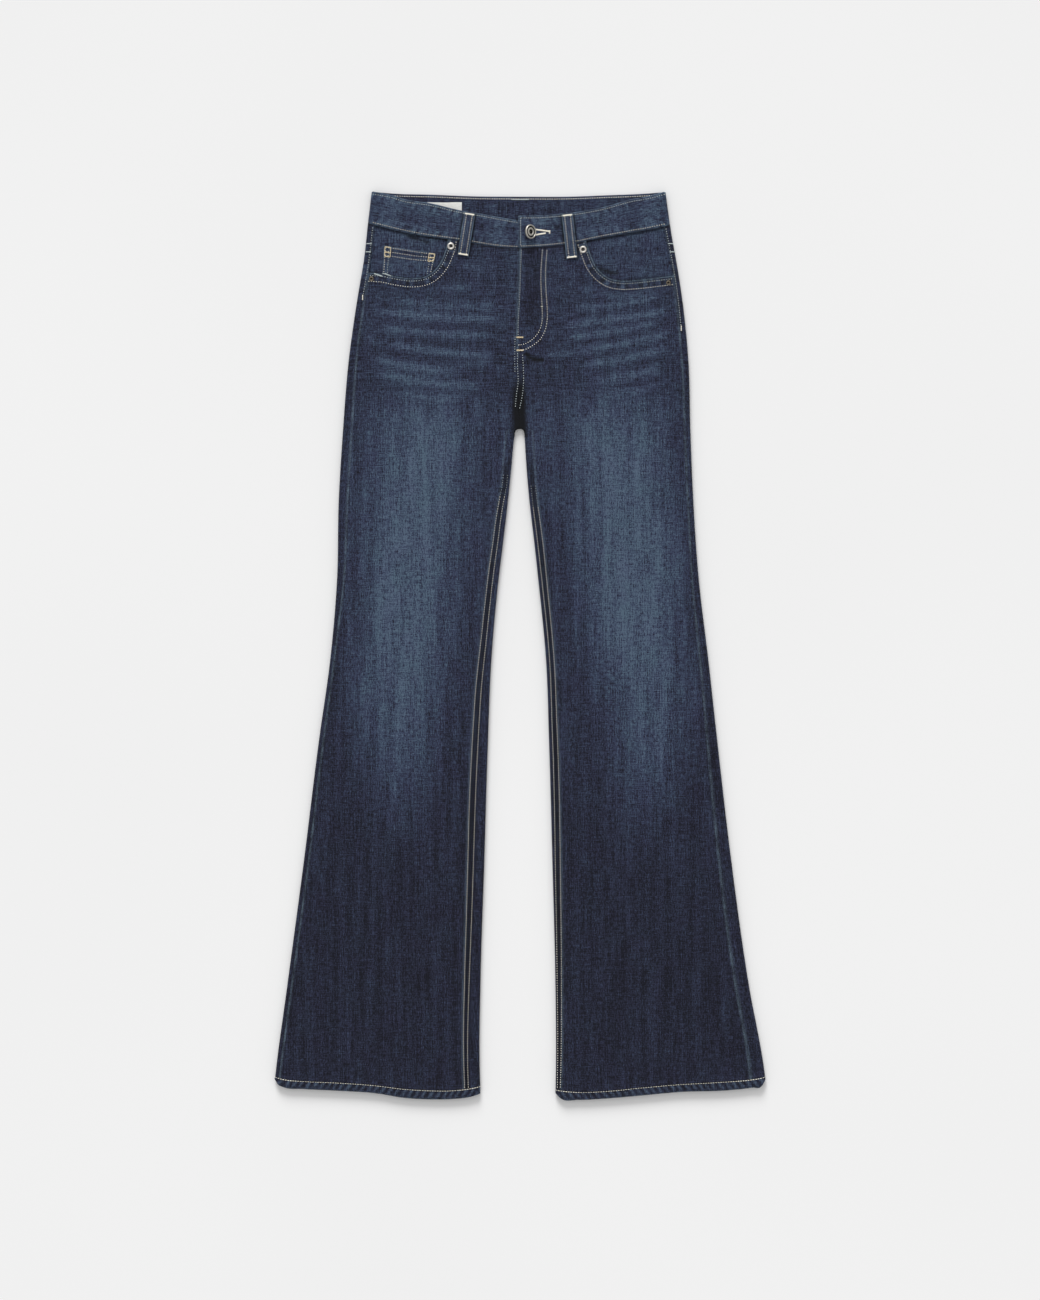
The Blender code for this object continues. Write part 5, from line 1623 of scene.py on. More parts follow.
@dataclass
class BeltLoop:
    """One belt loop: a folded strip, round along both sides, with a sunk row of stitches by each."""

    node: str
    top: tuple[float, float]
    low: tuple[float, float]
    width: float
    denim: Material
    behind: bool = False
    side_reach: float = 0.8
    row_share: float = 0.26
    floor_clearance: float = 0.04

    @property
    def side(self) -> Side:
        """The half of the garment that the loop is on."""
        return Side.LEFT if self.top[0] < 0 else Side.RIGHT

    def height(self, x: Array, y: Array, part: Array) -> Array:
        """Underside of the strip: over the front's step up to the band, bowed between its ends."""
        if self.behind:
            return np.zeros(np.shape(part))
        leg = LEGS[self.side]
        over_band = ease((y - leg.band_seam(np.abs(x)) + 9) / 7)
        band_top = UNDER + 2 * FOLD_RADIUS + BAND_PROUD
        rest = TOP + CROWN * 0.3 + (band_top - TOP - CROWN * 0.3) * over_band
        return rest + SEAM_GAP + LOOP_BOW * np.sin(math.pi * part) ** 2

    def place(self, part: Array, off: Array) -> tuple[Array, Array]:
        """x and y at a share of the way up and a distance off the middle line."""
        top, low = np.array(self.top), np.array(self.low)
        along = (top - low) / np.linalg.norm(top - low)
        return (
            low[0] + (top[0] - low[0]) * part + along[1] * off,
            low[1] + (top[1] - low[1]) * part - along[0] * off,
        )

    def build(self) -> Object:
        """Makes the strip, its profile carried from its low end to its top."""
        thickness = PATCH_CLOTH if self.behind else LOOP_CLOTH
        length = float(np.hypot(self.top[0] - self.low[0], self.top[1] - self.low[1]))
        part = np.linspace(0, 1, 44)
        across, depth = stadium(
            np.full(len(part), self.width), thickness, self.side_reach, self.side_reach, 13,
        )
        off = across - self.width / 2
        x, y = self.place(part[None, :], off)
        base = self.height(x, y, np.broadcast_to(part, x.shape))
        face = (depth < 0.15)[:, None]
        groove = 0.22 * peak(np.abs(off) - self.row_share * self.width, 0.75) + 0.1 * peak(off, 0.9)
        pucker = 0.12 * ripple(part * length + off, 4.4, 2)
        ends = 0.5 * (peak(part * length - 1.5, 1.6) + peak((1 - part) * length - 1.5, 1.6))
        lift = thickness - depth[:, None] + face * (pucker - groove - 0.5 * ends)
        z = base + lift
        if self.behind:
            z = thickness - np.clip(lift, 0, thickness - self.floor_clearance)
        rub = (
            0.85 * peak(self.width / 2 - np.abs(off), 0.9)
            + 0.25 * ease(ripple(part * length + off, 4.4, 2))
        )
        # Painted shade in the grooves of the rows, and on the strip's sides and underside.
        ink_tarnish_and_shade = (
            0.25 * peak(np.abs(off) - self.row_share * self.width, 0.9) * face
            + 0.9 * (depth > 0.3 * thickness)[:, None]
        )
        rub = rub * (depth < 0.3 * thickness)[:, None]
        wash_and_shade = WashAndShade(0.62 + 0.12 * ripple(part * length, 13, 1) + 0 * x, *held(rub, ink_tarnish_and_shade))
        flat = np.stack((off, np.broadcast_to(part * length, off.shape)), -1)
        piece = tube("denim_" + self.node, np.stack((x, y, z), -1), self.denim, flat, wash_and_shade, False)
        cut = Cut(self.width * MM, length * MM, self.width * length * MM * MM)
        on = "floor" if self.behind else "denim_waistband_" + self.side.word
        return dressed(piece, "denim", self.node, cut=cut, on=on)


class Tone(Enum):
    """Colours of thread: where each lies on the thread finish's ramp."""

    CREAM = 0.12
    GOLD = 0.5
    FADED = 0.88


Height = Callable[[Array, Array], Array]


@dataclass(frozen=True)
class Stitch:
    """Look of a row: distance between stitches, their width, thread and share that shows."""

    pitch: float = 2.8
    width: float = 0.9
    tone: Tone = Tone.CREAM
    fill: float = 0.52


def level(height: float) -> Height:
    """A height field that is the same everywhere."""
    return lambda x, y: 0 * x + height


class Sewing:
    """Rows of stitches and bar tacks, gathered as joined meshes of small arched capsules."""

    SIDES = 6
    RING_AT = np.array((-0.5, -0.3, 0.3, 0.5))
    RING_SIZE = np.array((0.35, 1.0, 1.0, 0.35))
    RING_ARCH = np.array((-0.35, 0.2, 0.2, -0.35))

    def __init__(self, name: str, seed: int) -> None:
        """Starts an empty group of stitches.

        Args:
            name: name of the joined piece.
            seed: of the small differences between stitches.
        """
        self.name = name
        self.random = np.random.default_rng(seed)
        self.rows: list[Array] = []

    def add(
        self, middle: Array, along: Array, up: Array, length: float, width: float, tone: Tone,
    ) -> None:
        """Adds stitches by middle, direction and normal, a little uneven in size and tone."""
        count = len(middle)
        lengths = length * self.random.uniform(0.9, 1.06, count)
        size = np.column_stack((lengths, width * self.random.uniform(0.9, 1.1, count)))
        shade = np.clip(tone.value + self.random.uniform(-0.1, 0.1, count), 0, 1)
        self.rows.append(np.column_stack((middle, along, up, size, shade)))

    def line(self, points: Array, normals: Array, stitch: Stitch) -> None:
        """A row of stitches along a line of points, a little uneven in place and slant."""
        run = run_along(points)
        count = max(1, int(run[-1] / stitch.pitch))
        at = (np.arange(count) + 0.5) * run[-1] / count + self.random.uniform(-0.12, 0.12, count)

        def read(values: Array, place: Array) -> Array:
            """Points or normals at places along the line."""
            return np.stack([np.interp(place, run, values[:, k]) for k in range(3)], 1)

        half = 0.5 * stitch.fill * stitch.pitch
        ahead, behind = read(points, at + half), read(points, at - half)
        up = read(normals, at)
        side = np.cross(ahead - behind, up)
        along = ahead - behind + side * self.random.uniform(-0.06, 0.06, (count, 1))
        middle = (ahead + behind) / 2 + up * (0.18 * stitch.width)
        self.add(middle, along, up, stitch.fill * stitch.pitch, stitch.width, stitch.tone)

    def row(self, line: Sequence, height: Height, stitch: Stitch, up: float = 1.0) -> None:
        """A row of stitches along a line of (x, y), laid on a height field.

        Args:
            line: points that the row follows smoothly.
            height: of the cloth.
            stitch: look of the row.
            up: 1 where the cloth faces up, -1 below.
        """
        flat = smooth_line(line, 1.0)
        x, y = flat[:, 0], flat[:, 1]
        points = np.column_stack((x, y, height(x, y)))
        tilt_x = (height(x + 0.5, y) - height(x - 0.5, y)).clip(-1, 1)
        tilt_y = (height(x, y + 0.5) - height(x, y - 0.5)).clip(-1, 1)
        self.line(points, up * np.column_stack((-tilt_x, -tilt_y, np.ones(len(x)))), stitch)

    def tack(
        self, start: Sequence[float], end: Sequence[float], height: Height, reach: float = 1.9,
        tone: Tone = Tone.CREAM, up: float = 1.0, pitch: float = 0.62,
    ) -> None:
        """A bar tack: close stitches across a short line.

        Args:
            start: where the line starts, as (x, y).
            end: where it ends.
            height: of the cloth.
            reach: length of each stitch.
            tone: of the thread.
            up: 1 where the cloth faces up, -1 below.
            pitch: distance from one stitch to the next.
        """
        a, b = np.array(start, float), np.array(end, float)
        count = max(3, int(np.linalg.norm(b - a) / pitch))
        t = (np.arange(count) + 0.5) / count
        flat = a + (b - a) * t[:, None]
        way = (b - a) / np.linalg.norm(b - a)
        across = np.array((-way[1], way[0], 0.0))
        z = height(flat[:, 0], flat[:, 1]) + up * 0.25
        along = np.tile(across, (count, 1)) + self.random.uniform(-0.1, 0.1, (count, 3)) * (1, 1, 0)
        normal = np.tile((0.0, 0.0, up), (count, 1))
        self.add(np.column_stack((flat, z)), along, normal, reach, 0.8, tone)

    def build(self, finish: Material) -> Object:
        """Joins all the stitches.

        Each is four rings of six points about an arched middle line, with both ends closed.
        """
        data = np.concatenate(self.rows)
        middle, along, up = data[:, 0:3], data[:, 3:6], data[:, 6:9]
        length, width, tone = data[:, 9], data[:, 10], data[:, 11]
        along = along / np.linalg.norm(along, axis=1, keepdims=True)
        side = np.cross(along, up)
        side /= np.linalg.norm(side, axis=1, keepdims=True)
        up = np.cross(side, along)
        angle = np.linspace(0, 2 * np.pi, self.SIDES, endpoint=False)
        ring = (
            self.RING_SIZE[:, None, None]
            * (np.cos(angle)[None, :, None], np.sin(angle)[None, :, None])
        )
        count = len(data)
        rings = len(self.RING_AT)
        centre = (
            middle[:, None] + along[:, None] * (self.RING_AT[None, :, None] * length[:, None, None])
            + up[:, None] * (self.RING_ARCH[None, :, None] * width[:, None, None])
        )
        radius = (width / 2)[:, None, None, None]
        points = (
            centre[:, :, None] + radius * ring[0][None] * side[:, None, None]
            + radius * ring[1][None] * up[:, None, None]
        )
        one = quads(rings, self.SIDES, False, True)
        last = (rings - 1) * self.SIDES
        caps = np.array((
            (3, 2, 1, 0), (5, 4, 3, 0), (last, last + 1, last + 2, last + 3),
            (last, last + 3, last + 4, last + 5),
        ))
        one = np.concatenate((one, caps))
        step = rings * self.SIDES
        faces = (one[None] + (np.arange(count) * step)[:, None, None]).reshape(-1, 4)
        piece = make_piece(self.name, points.reshape(-1, 3), faces, finish)
        made = piece.data.attributes.new("tone", "FLOAT", "POINT")
        made.data.foreach_set("value", np.repeat(tone, step).astype(np.float32))
        return dressed(piece, "thread")


def on_front(x: Array, y: Array) -> Array:
    """Height of the dressed front at x, y, whichever leg it is on."""
    left, right = LEGS[Side.LEFT], LEGS[Side.RIGHT]
    on_left = x < left.centre_front(y)
    return np.where(on_left, left.top_height(-x, y), right.top_height(x, y))


def below(x: Array, y: Array) -> Array:
    """Height of the underside of the backs at x, y."""
    leg = LEGS[Side.LEFT]
    return UNDER - 0.0 * x - leg.under_relief(np.abs(x), y)


def offset_line(line: Array, distance: float) -> Array:
    """A line set off to its right by a distance, by its normals smoothed over five points."""
    way = np.gradient(line, axis=0)
    kernel = np.ones(5) / 5
    way = np.stack(
        [np.convolve(np.pad(way[:, k], 2, mode="edge"), kernel, "valid") for k in range(2)], 1,
    )
    way /= np.linalg.norm(way, axis=1, keepdims=True)
    return line + distance * np.column_stack((-way[:, 1], way[:, 0]))


@dataclass
class FrontSewing:
    """All the stitching that shows on top of one leg."""

    leg: Leg
    thread: Material
    opening: tuple = (Stitch(2.9, 0.95, Tone.FADED, 0.4), Stitch(2.9, 0.95, Tone.CREAM, 0.4))
    inseam: Stitch = Stitch(2.9, 0.76, Tone.CREAM, 0.42)
    inseam_start: Stitch = Stitch(2.9, 0.76, Tone.FADED, 0.24)
    worn_length: float = 26
    side: Stitch = Stitch(2.9, 0.9, Tone.FADED, 0.4)
    side_offset: float = 1.7
    side_tack_half: float = 3
    yoke_tacks: tuple[float, float] = (482.6, 472.8)
    yoke_tack_span: tuple[float, float] = (0.6, 7)
    fly_edge: Stitch = Stitch(2.8, 0.9, Tone.FADED, 0.4)
    fly_edge_span: tuple[float, float] = (476, 372)
    fly_curve: Stitch = Stitch(2.9, 0.95, Tone.CREAM, 0.4)
    fly_tacks: tuple[float, float] = (370, 354.6)
    fly_tack_span: tuple[float, float] = (-4.2, 3.8)
    fly_bar: tuple = ((25, 407), (27.4, 407))
    coin_bar: tuple = ((-175, 446.5), (-165.5, 443.5))
    coin_pair: tuple = ((-163.5, 447.0), (-154.6, 443.6))
    coin_pair_shift: float = 1.4
    crotch: tuple = (
        Stitch(2.9, 0.85, Tone.FADED, 0.48), Stitch(2.9, 0.85, Tone.FADED, 0.48),
        Stitch(2.9, 0.85, Tone.FADED, 0.36),
    )

    def opening_rows(self, sewing: Sewing) -> None:
        """Two rows below the pocket opening, OPENING_ROWS away from its edge."""
        leg = self.leg
        for offset, stitch in zip(OPENING_ROWS, self.opening):
            line = offset_line(leg.opening, -offset)
            inside = line[:, 0] < leg.outseam(line[:, 1]) - 1
            keep = inside & (line[:, 1] < leg.band_seam(line[:, 0]) - 1)
            sewing.row(line[keep] * (leg.side, 1), on_front, stitch)

    def inseam_rows(self, sewing: Sewing) -> None:
        """Two rows down the inseam to the hem, sunk deep and worn where it comes round the fold."""
        leg = self.leg
        top = INSEAM_ROWS_TOP[leg.name]
        middle = top - self.worn_length
        for start, end, stitch in (
            (top, middle, self.inseam_start), (middle, INSEAM_ROWS_END, self.inseam),
        ):
            y = row_places(start, end, 2.0)
            for row in (leg.row_near, leg.row_far):
                sewing.row(leg.line(leg.inseam(y) + row(y), y), on_front, stitch)

    def side_rows(self, sewing: Sewing) -> None:
        """The dress row beside the outseam at the hip, its end tack and the yoke's tacks above."""
        leg = self.leg
        y_end = SIDE_ROW_END[leg.name]
        y = row_places(read_at(leg.band_seam, 176) - 3, y_end, 2.0)
        sewing.row(leg.line(leg.outseam(y) + self.side_offset, y), on_front, self.side)
        end = leg.side * (read_at(leg.outseam, y_end) + self.side_offset)
        half = self.side_tack_half
        sewing.tack((end, y_end + half), (end, y_end - half), on_front, 1.3)
        for y in self.yoke_tacks:
            w = read_at(leg.outseam, y)
            start, end = ((leg.side * (w + off), y) for off in self.yoke_tack_span)
            sewing.tack(start, end, on_front, 1.2, Tone.FADED)

    def fly_rows(self, sewing: Sewing) -> None:
        """The fly's edge row, its two curved rows, the crotch rows and the bar tacks between."""
        y = row_places(*self.fly_edge_span, 2.0)
        sewing.row(
            np.column_stack((self.leg.centre_front(y) + FLY_EDGE_ROW, y)), on_front, self.fly_edge,
        )
        for line in FLY_CURVES:
            sewing.row(line, on_front, self.fly_curve)
        left, right = self.fly_tack_span
        for y in self.fly_tacks:
            sewing.tack((left, y), (right, y), on_front, 1.9, Tone.GOLD)
        for line, stitch in zip(CROTCH_ROWS, self.crotch):
            sewing.row(line, on_front, stitch)
        sewing.tack(*self.fly_bar, on_front, 1.2)

    def coin_tacks(self, sewing: Sewing) -> None:
        """Tacks that hold the coin pocket to the side, a bar and a pair that meet in a point."""
        sewing.tack(*self.coin_bar, on_front, 1.6, Tone.FADED)
        (x, y), point = self.coin_pair
        for shift in (-self.coin_pair_shift, self.coin_pair_shift):
            sewing.tack((x + shift, y), point, on_front, 1.0, Tone.FADED)

    def build(self) -> Object:
        """Joins the leg's rows, with the fly's on the right and the coin pocket's on the left."""
        sewing = Sewing("thread_front_" + self.leg.name, 11 + self.leg.side)
        self.opening_rows(sewing)
        self.inseam_rows(sewing)
        self.side_rows(sewing)
        if self.leg.side > 0:
            self.fly_rows(sewing)
        else:
            self.coin_tacks(sewing)
        return sewing.build(self.thread)


@dataclass
class TrimSewing:
    """Stitching of the band, loops, coin pocket, hems and the underside."""

    bands: dict[Side, Waistband]
    loops: Sequence[BeltLoop]
    pockets: dict[Side, Pockets]
    hems: Sequence[Hem]
    thread: Material
    band_low: Stitch = Stitch(2.8, 0.95, Tone.CREAM, 0.36)
    band_high: Stitch = Stitch(2.8, 0.95, Tone.FADED, 0.45)
    band_end: Stitch = Stitch(2.8, 1.0, Tone.FADED)
    band_inside: Stitch = Stitch(2.8, 1.1)
    band_behind: Stitch = Stitch(3.1, 0.6, Tone.FADED)
    band_side_clearance: float = 3.2
    band_inside_span: tuple[float, float] = (0.5, 171)
    band_behind_span: tuple[float, float] = (0.5, 172)
    band_end_span: tuple[float, float] = (514, 480)
    centre_loop_bar: tuple = ((-10, 536), (11, 536))
    buttonhole: tuple = (
        ((17, 499.6), (36, 497.2)), ((17, 492.6), (31, 495.2)), ((35.5, 498.6), (35.5, 494.6)),
    )
    front_loop: Stitch = Stitch(2.8, 1.0, Tone.CREAM, 0.42)
    back_loop: Stitch = Stitch(2.8, 0.6, Tone.CREAM, 0.42)
    loop_row_span: tuple[float, float] = (0.04, 0.96)
    loop_tacks: tuple[float, float] = (0.035, 0.965)
    loop_tack_share: float = 0.42
    coin_hem: Stitch = Stitch(2.8, 0.85, Tone.CREAM, 0.38)
    coin_side: Stitch = Stitch(2.8, 0.85, Tone.FADED, 0.38)
    coin_hem_rows: tuple = (0.945, 0.80, 0.66)
    coin_boxes: tuple = ((0.02, 0.13), (0.87, 0.98))
    coin_box_bars: tuple = (0.96, 0.77, 0.62)
    coin_box_span: tuple[float, float] = (0.94, 0.64)
    hem: Stitch = Stitch(3.0, 0.7, Tone.CREAM, 0.85)
    behind: Stitch = Stitch(3.2, 0.6)
    yoke_span: tuple[float, float] = (4.5, 176)
    yoke_rows: tuple[float, float] = (1.8, 7.6)
    patch_rows: tuple[float, float] = (2.0, 7.5)
    patch_reach: tuple[float, float] = (62, 135)
    patch_hem_rows: tuple[float, float] = (0.024, 0.10)
    patch_hem_half: float = 0.97
    centre_rows: tuple[float, float] = (-3.2, 3.2)
    centre_heights: tuple = (498, 400, 282)
    behind_z: float = 0.56
    loop_tack_z: float = 0.78
    hem_z: float = 0.62

    def on_band(self, side: Side) -> Height:
        """Height field of one half of the band's front."""
        return lambda x, y: self.bands[side].front_height(side.value * x, y)

    def band(self) -> Object:
        """Rows along both edges of the band, down its end, inside its back and at the buttonhole."""
        sewing = Sewing("thread_waistband", 21)
        inside = level(UNDER + BAND_CLOTH)
        for side, band in self.bands.items():
            leg = band.leg
            height = self.on_band(side)
            start = OVERLAP_END + BAND_END_ROW if side is Side.RIGHT else BAND_END_ROW
            side_end = read_at(leg.outer, BAND_MIDDLE_Y) - self.band_side_clearance
            w = row_places(start, side_end, 2.0)
            sewing.row(leg.line(w, leg.band_seam(w) + BAND_ROWS[0]), height, self.band_low)
            sewing.row(leg.line(w, leg.band_top(w) - BAND_ROWS[1]), height, self.band_high)
            w = row_places(*self.band_inside_span, 3.0)
            sewing.row(leg.line(w, leg.band_top_back(w) - BAND_ROWS[1]), inside, self.band_inside)
            w = row_places(*self.band_behind_span, 3.0)
            for y in (leg.band_top_back(w) - BAND_ROWS[1], leg.band_seam_back(w) + BAND_ROWS[0]):
                sewing.row(leg.line(w, y), level(UNDER + 0.2), self.band_behind, -1.0)
        height = self.on_band(Side.RIGHT)
        end = OVERLAP_END + BAND_END_ROW
        sewing.row([(end, y) for y in self.band_end_span], height, self.band_end)
        sewing.tack(*self.centre_loop_bar, inside, 1.2, Tone.FADED)
        for start, end in self.buttonhole:
            sewing.tack(start, end, height, 2.0, Tone.CREAM, pitch=0.7)
        return sewing.build(self.thread)

    def loop_rows(self) -> Object:
        """Two rows down each loop and a bar tack across each end."""
        sewing = Sewing("thread_loops", 31)
        for loop in self.loops:
            up = -1.0 if loop.behind else 1.0
            stitch = self.back_loop if loop.behind else self.front_loop
            thickness = self.behind_z if loop.behind else LOOP_CLOTH

            def height(
                x: Array, y: Array, loop: BeltLoop = loop, thickness: float = thickness,
            ) -> Array:
                """Height of the loop's face."""
                part = (y - loop.low[1]) / (loop.top[1] - loop.low[1])
                return loop.height(x, y, part) + thickness - (0 if loop.behind else 0.15)

            part = row_places(*self.loop_row_span, 0.05)
            for share in (-loop.row_share, loop.row_share):
                sewing.row(np.column_stack(loop.place(part, share * loop.width)), height, stitch, up)
            half = self.loop_tack_share * loop.width
            for end in self.loop_tacks:
                x, y = loop.place(np.array((end, end)), np.array((-half, half)))
                face = level(self.loop_tack_z) if loop.behind else height
                sewing.tack(
                    (x[0], y[0]), (x[1], y[1]), face, 1.2 if loop.behind else 2.0, Tone.CREAM, up,
                )
        return sewing.build(self.thread)

    def coin_rows(self) -> Object:
        """The coin pocket's hem rows, side rows and boxed corner tacks."""
        pocket = self.pockets[Side.LEFT]
        leg = pocket.leg
        sewing = Sewing("thread_coin_pocket", 41)

        def height(x: Array, y: Array) -> Array:
            """Height of the pocket's face."""
            return TOP + leg.form(-x, y) - FACING_DROP + SEAM_GAP + PATCH_CLOTH - 0.1

        t = row_places(0.02, 0.98, 0.04)
        for v in self.coin_hem_rows:
            sewing.row(leg.line(*pocket.coin_place(t, np.full_like(t, v))), height, self.coin_hem)
        down = row_places(0.95, 0.02, 0.05)
        for u, stitch in (
            (0.03, self.coin_hem), (0.97, self.coin_hem), (0.10, self.coin_side),
            (0.90, self.coin_side),
        ):
            sewing.row(leg.line(*pocket.coin_place(np.full_like(down, u), down)), height, stitch)
        for u in self.coin_boxes:
            for v in self.coin_box_bars:
                line = leg.line(*pocket.coin_place(np.array(u), np.array((v, v))))
                sewing.tack(*line, height, 1.3, Tone.GOLD)
            for side in u:
                ends = np.array((side, side)), np.array(self.coin_box_span)
                sewing.tack(*leg.line(*pocket.coin_place(*ends)), height, 1.0, Tone.GOLD)
        return sewing.build(self.thread)

    def hem_rows(self) -> Object:
        """One row round each leg at the top of its hem."""
        sewing = Sewing("thread_hems", 51)
        for hem in self.hems:
            grid = hem.ring(cell(ROW_SHARE), cell(0.0))[0][0]
            turned = grid[:, 2] - HEM_RADIUS
            normal = np.column_stack((0 * turned, 0 * turned, turned / np.abs(turned).max()))
            inward = (grid[:, 0] - (grid[:, 0].min() + HEM_RADIUS)) < 0
            outward = grid[:, 0] > grid[:, 0].max() - HEM_RADIUS
            normal[inward, 0], normal[outward, 0] = -1.0, 1.0
            normal /= np.linalg.norm(normal, axis=1, keepdims=True)
            grid = mirrored(hem.leg, np.concatenate((grid, grid[:1])))
            normal = mirrored(hem.leg, np.concatenate((normal, normal[:1])))
            grid[:, 2] = np.maximum(grid[:, 2], self.hem_z)
            sewing.line(grid, normal, self.hem)
        return sewing.build(self.thread)

    def under_rows(self) -> Object:
        """Double rows of the yokes, the centre back and the back pockets, below."""
        sewing = Sewing("thread_back", 61)
        patch_face = level(self.behind_z)
        for pocket in self.pockets.values():
            leg = pocket.leg
            w = row_places(*self.yoke_span, 2.5)
            for offset in self.yoke_rows:
                sewing.row(leg.line(w, leg.yoke_seam(w) + offset), below, self.behind, -1.0)
            t = row_places(0, 1, 0.03)
            rows = []
            for inset in self.patch_rows:
                u, v = (1 - inset / reach for reach in self.patch_reach)
                rows += [
                    (np.full_like(t, u), t * v), (np.full_like(t, -u), t * v),
                    (u - 2 * u * t, np.full_like(t, v)),
                ]
            across = self.patch_hem_half * (1 - 2 * t)
            rows += [(across, np.full_like(t, v)) for v in self.patch_hem_rows]
            for u, v in rows:
                sewing.row(leg.line(*pocket.back_place(u, v)), patch_face, self.behind, -1.0)
        for x in self.centre_rows:
            sewing.row([(x, y) for y in self.centre_heights], below, self.behind, -1.0)
        return sewing.build(self.thread)


@dataclass
class Fastener:
    """A small turned metal piece: a profile of (radius, height, tarnish) carried round an axis."""

    name: str
    node: str
    slot: str
    profile: Sequence[tuple[float, float, float]]
    place: tuple[float, float, float]
    finish: Material
    tilt: float = 0.0
    around: int = 48

    def build(self) -> Object:
        """Turns the profile, with one shared point at each pole."""
        rows = np.array(self.profile[1:-1], float)[:, :2]
        dark = np.concatenate((
            np.repeat([row[2] for row in self.profile[1:-1]], self.around),
            (self.profile[0][2], self.profile[-1][2]),
        ))
        angle = np.linspace(0, 2 * np.pi, self.around, endpoint=False)
        ring = np.stack(
            (
                rows[:, :1] * np.cos(angle), rows[:, :1] * np.sin(angle),
                np.broadcast_to(rows[:, 1:], (len(rows), self.around)),
            ),
            -1,
        ).reshape(-1, 3)
        poles = np.array(((0, 0, self.profile[0][1]), (0, 0, self.profile[-1][1])))
        points = np.concatenate((ring, poles))
        lean = math.radians(self.tilt)
        turn = np.array((
            (math.cos(lean), 0, math.sin(lean)), (0, 1, 0), (-math.sin(lean), 0, math.cos(lean)),
        ))
        points = points @ turn.T + np.array(self.place)
        body = quads(len(rows), self.around, False, True)
        k = np.arange(self.around)
        m = (k + 1) % self.around
        top, low = len(ring), len(ring) + 1
        last = (len(rows) - 1) * self.around
        caps = np.concatenate((
            np.stack((m, k, np.full_like(k, top)), 1),
            np.stack((k + last, m + last, np.full_like(k, low)), 1),
        ))
        split = np.concatenate((body[:, (0, 1, 2)], body[:, (0, 2, 3)], caps))
        piece = make_piece(
            self.name, points, split, self.finish, wash_and_shade=WashAndShade(0 * dark, 0 * dark, dark), sharp=60,
        )
        return dressed(piece, self.slot, self.node)


BUTTON_PROFILE = (
    (0, 0.3, 0.6), (0.5, 0.28, 0.8), (0.9, 0.2, 1), (1.3, 0.1, 1), (2.1, 0.12, 1), (2.6, 0.5, 1),
    (3.0, 1.1, 0.2), (3.4, 1.4, 0), (4.0, 1.3, 0), (4.6, 1.25, 0), (5.1, 0.95, 0.2), (5.4, 0.6, 1),
    (5.8, 0.45, 1), (6.3, 0.42, 1), (6.7, 0.5, 1), (7.0, 1.1, 0.2), (7.4, 1.62, 0), (8.0, 1.55, 0),
    (8.5, 1.1, 0), (8.7, 0.5, 0.3), (8.7, -0.5, 0.5), (8.3, -1.1, 0.7), (7.5, -1.4, 1),
    (2.7, -1.8, 1), (2.3, -2.4, 1), (2.2, -3.2, 1), (2.2, -7.6, 1), (0, -7.6, 1),
)


def rivet_profile(size: float) -> tuple:
    """A domed ring with a small raised nipple in its dark hollow."""
    return (
        (0, 0.8, 0.5), (0.1 * size, 0.7, 0.9), (0.2 * size, 0.4, 1), (0.3 * size, 0.3, 1),
        (0.44 * size, 0.4, 1), (0.54 * size, 0.85, 0.2), (0.68 * size, 1.0, 0),
        (0.82 * size, 0.92, 0), (0.94 * size, 0.55, 0.2), (size, 0.15, 0.8), (size, 0.0, 1),
        (0, 0.0, 1),
    )


LABEL_CUT = Cut(0.0415, 0.022, 0.0009)


def woven_label(finish: Material) -> Object:
    """A blank woven label inside the back of the waistband, waved a little between its stitches."""
    u, rise_u = spaced(LABEL_SIZE[0], 0.9)
    v, rise_v = spaced(LABEL_SIZE[1], 0.9)
    x = LABEL_CENTRE[0] + LABEL_SIZE[0] * (u - 0.5)[None, :] + 0 * v[:, None]
    y = LABEL_CENTRE[1] + LABEL_SIZE[1] * (v - 0.5)[:, None] + 0.25 * ripple(x, 38, 1)
    low = UNDER + BAND_CLOTH + 0.1
    base = np.stack((x, y, low + 0.12 * (1 + ripple(x + 0.4 * y, 17, 2))), -1)
    rise = np.minimum(rise_u[None, :], rise_v[:, None])
    flat = np.stack((x, y), -1)
    wash_and_shade = WashAndShade(0 * x, 0 * x, 0 * x)
    outer = base + UP * patch_lift(rise, LABEL_SIZE[2])[..., None]
    piece = wall("blank_label", outer, base, finish, flat, wash_and_shade)
    return dressed(piece, "woven_label", "label", cut=LABEL_CUT, on="denim_waistband_left")


Seen = tuple[float, float, float]
# The bars across the hips begin and are full at these heights up the cut cloth, in metres.
HIPS_FROM = 0.25
HIPS_FULL = 0.33


def shade(red: float, green: float, blue: float) -> tuple[float, float, float, float]:
    """Colour as seen, 0 to 255 a channel, turned linear by the usual power of 2.4 curve."""
    seen = np.array((red, green, blue)) / 255
    linear = np.where(seen <= 0.04045, seen / 12.92, ((seen + 0.055) / 1.055) ** 2.4)
    return (*(float(value) for value in linear), 1.0)


class Value:
    """A value in a node tree, so that sums of values read as they do on paper."""

    def __init__(self, nodes: "Nodes", socket: NodeSocket) -> None:
        """Wraps an output of a node."""
        self.nodes = nodes
        self.socket = socket

    def __add__(self, other: object) -> "Value":
        """This plus another."""
        return self.nodes.maths("ADD", self, other)

    def __radd__(self, other: object) -> "Value":
        """A number plus this."""
        return self.nodes.maths("ADD", other, self)

    def __sub__(self, other: object) -> "Value":
        """This less another."""
        return self.nodes.maths("SUBTRACT", self, other)

    def __rsub__(self, other: object) -> "Value":
        """A number less this."""
        return self.nodes.maths("SUBTRACT", other, self)

    def __mul__(self, other: object) -> "Value":
        """This times another."""
        return self.nodes.maths("MULTIPLY", self, other)

    def held(self) -> "Value":
        """The same, held between 0 and 1."""
        self.socket.node.use_clamp = True
        return self


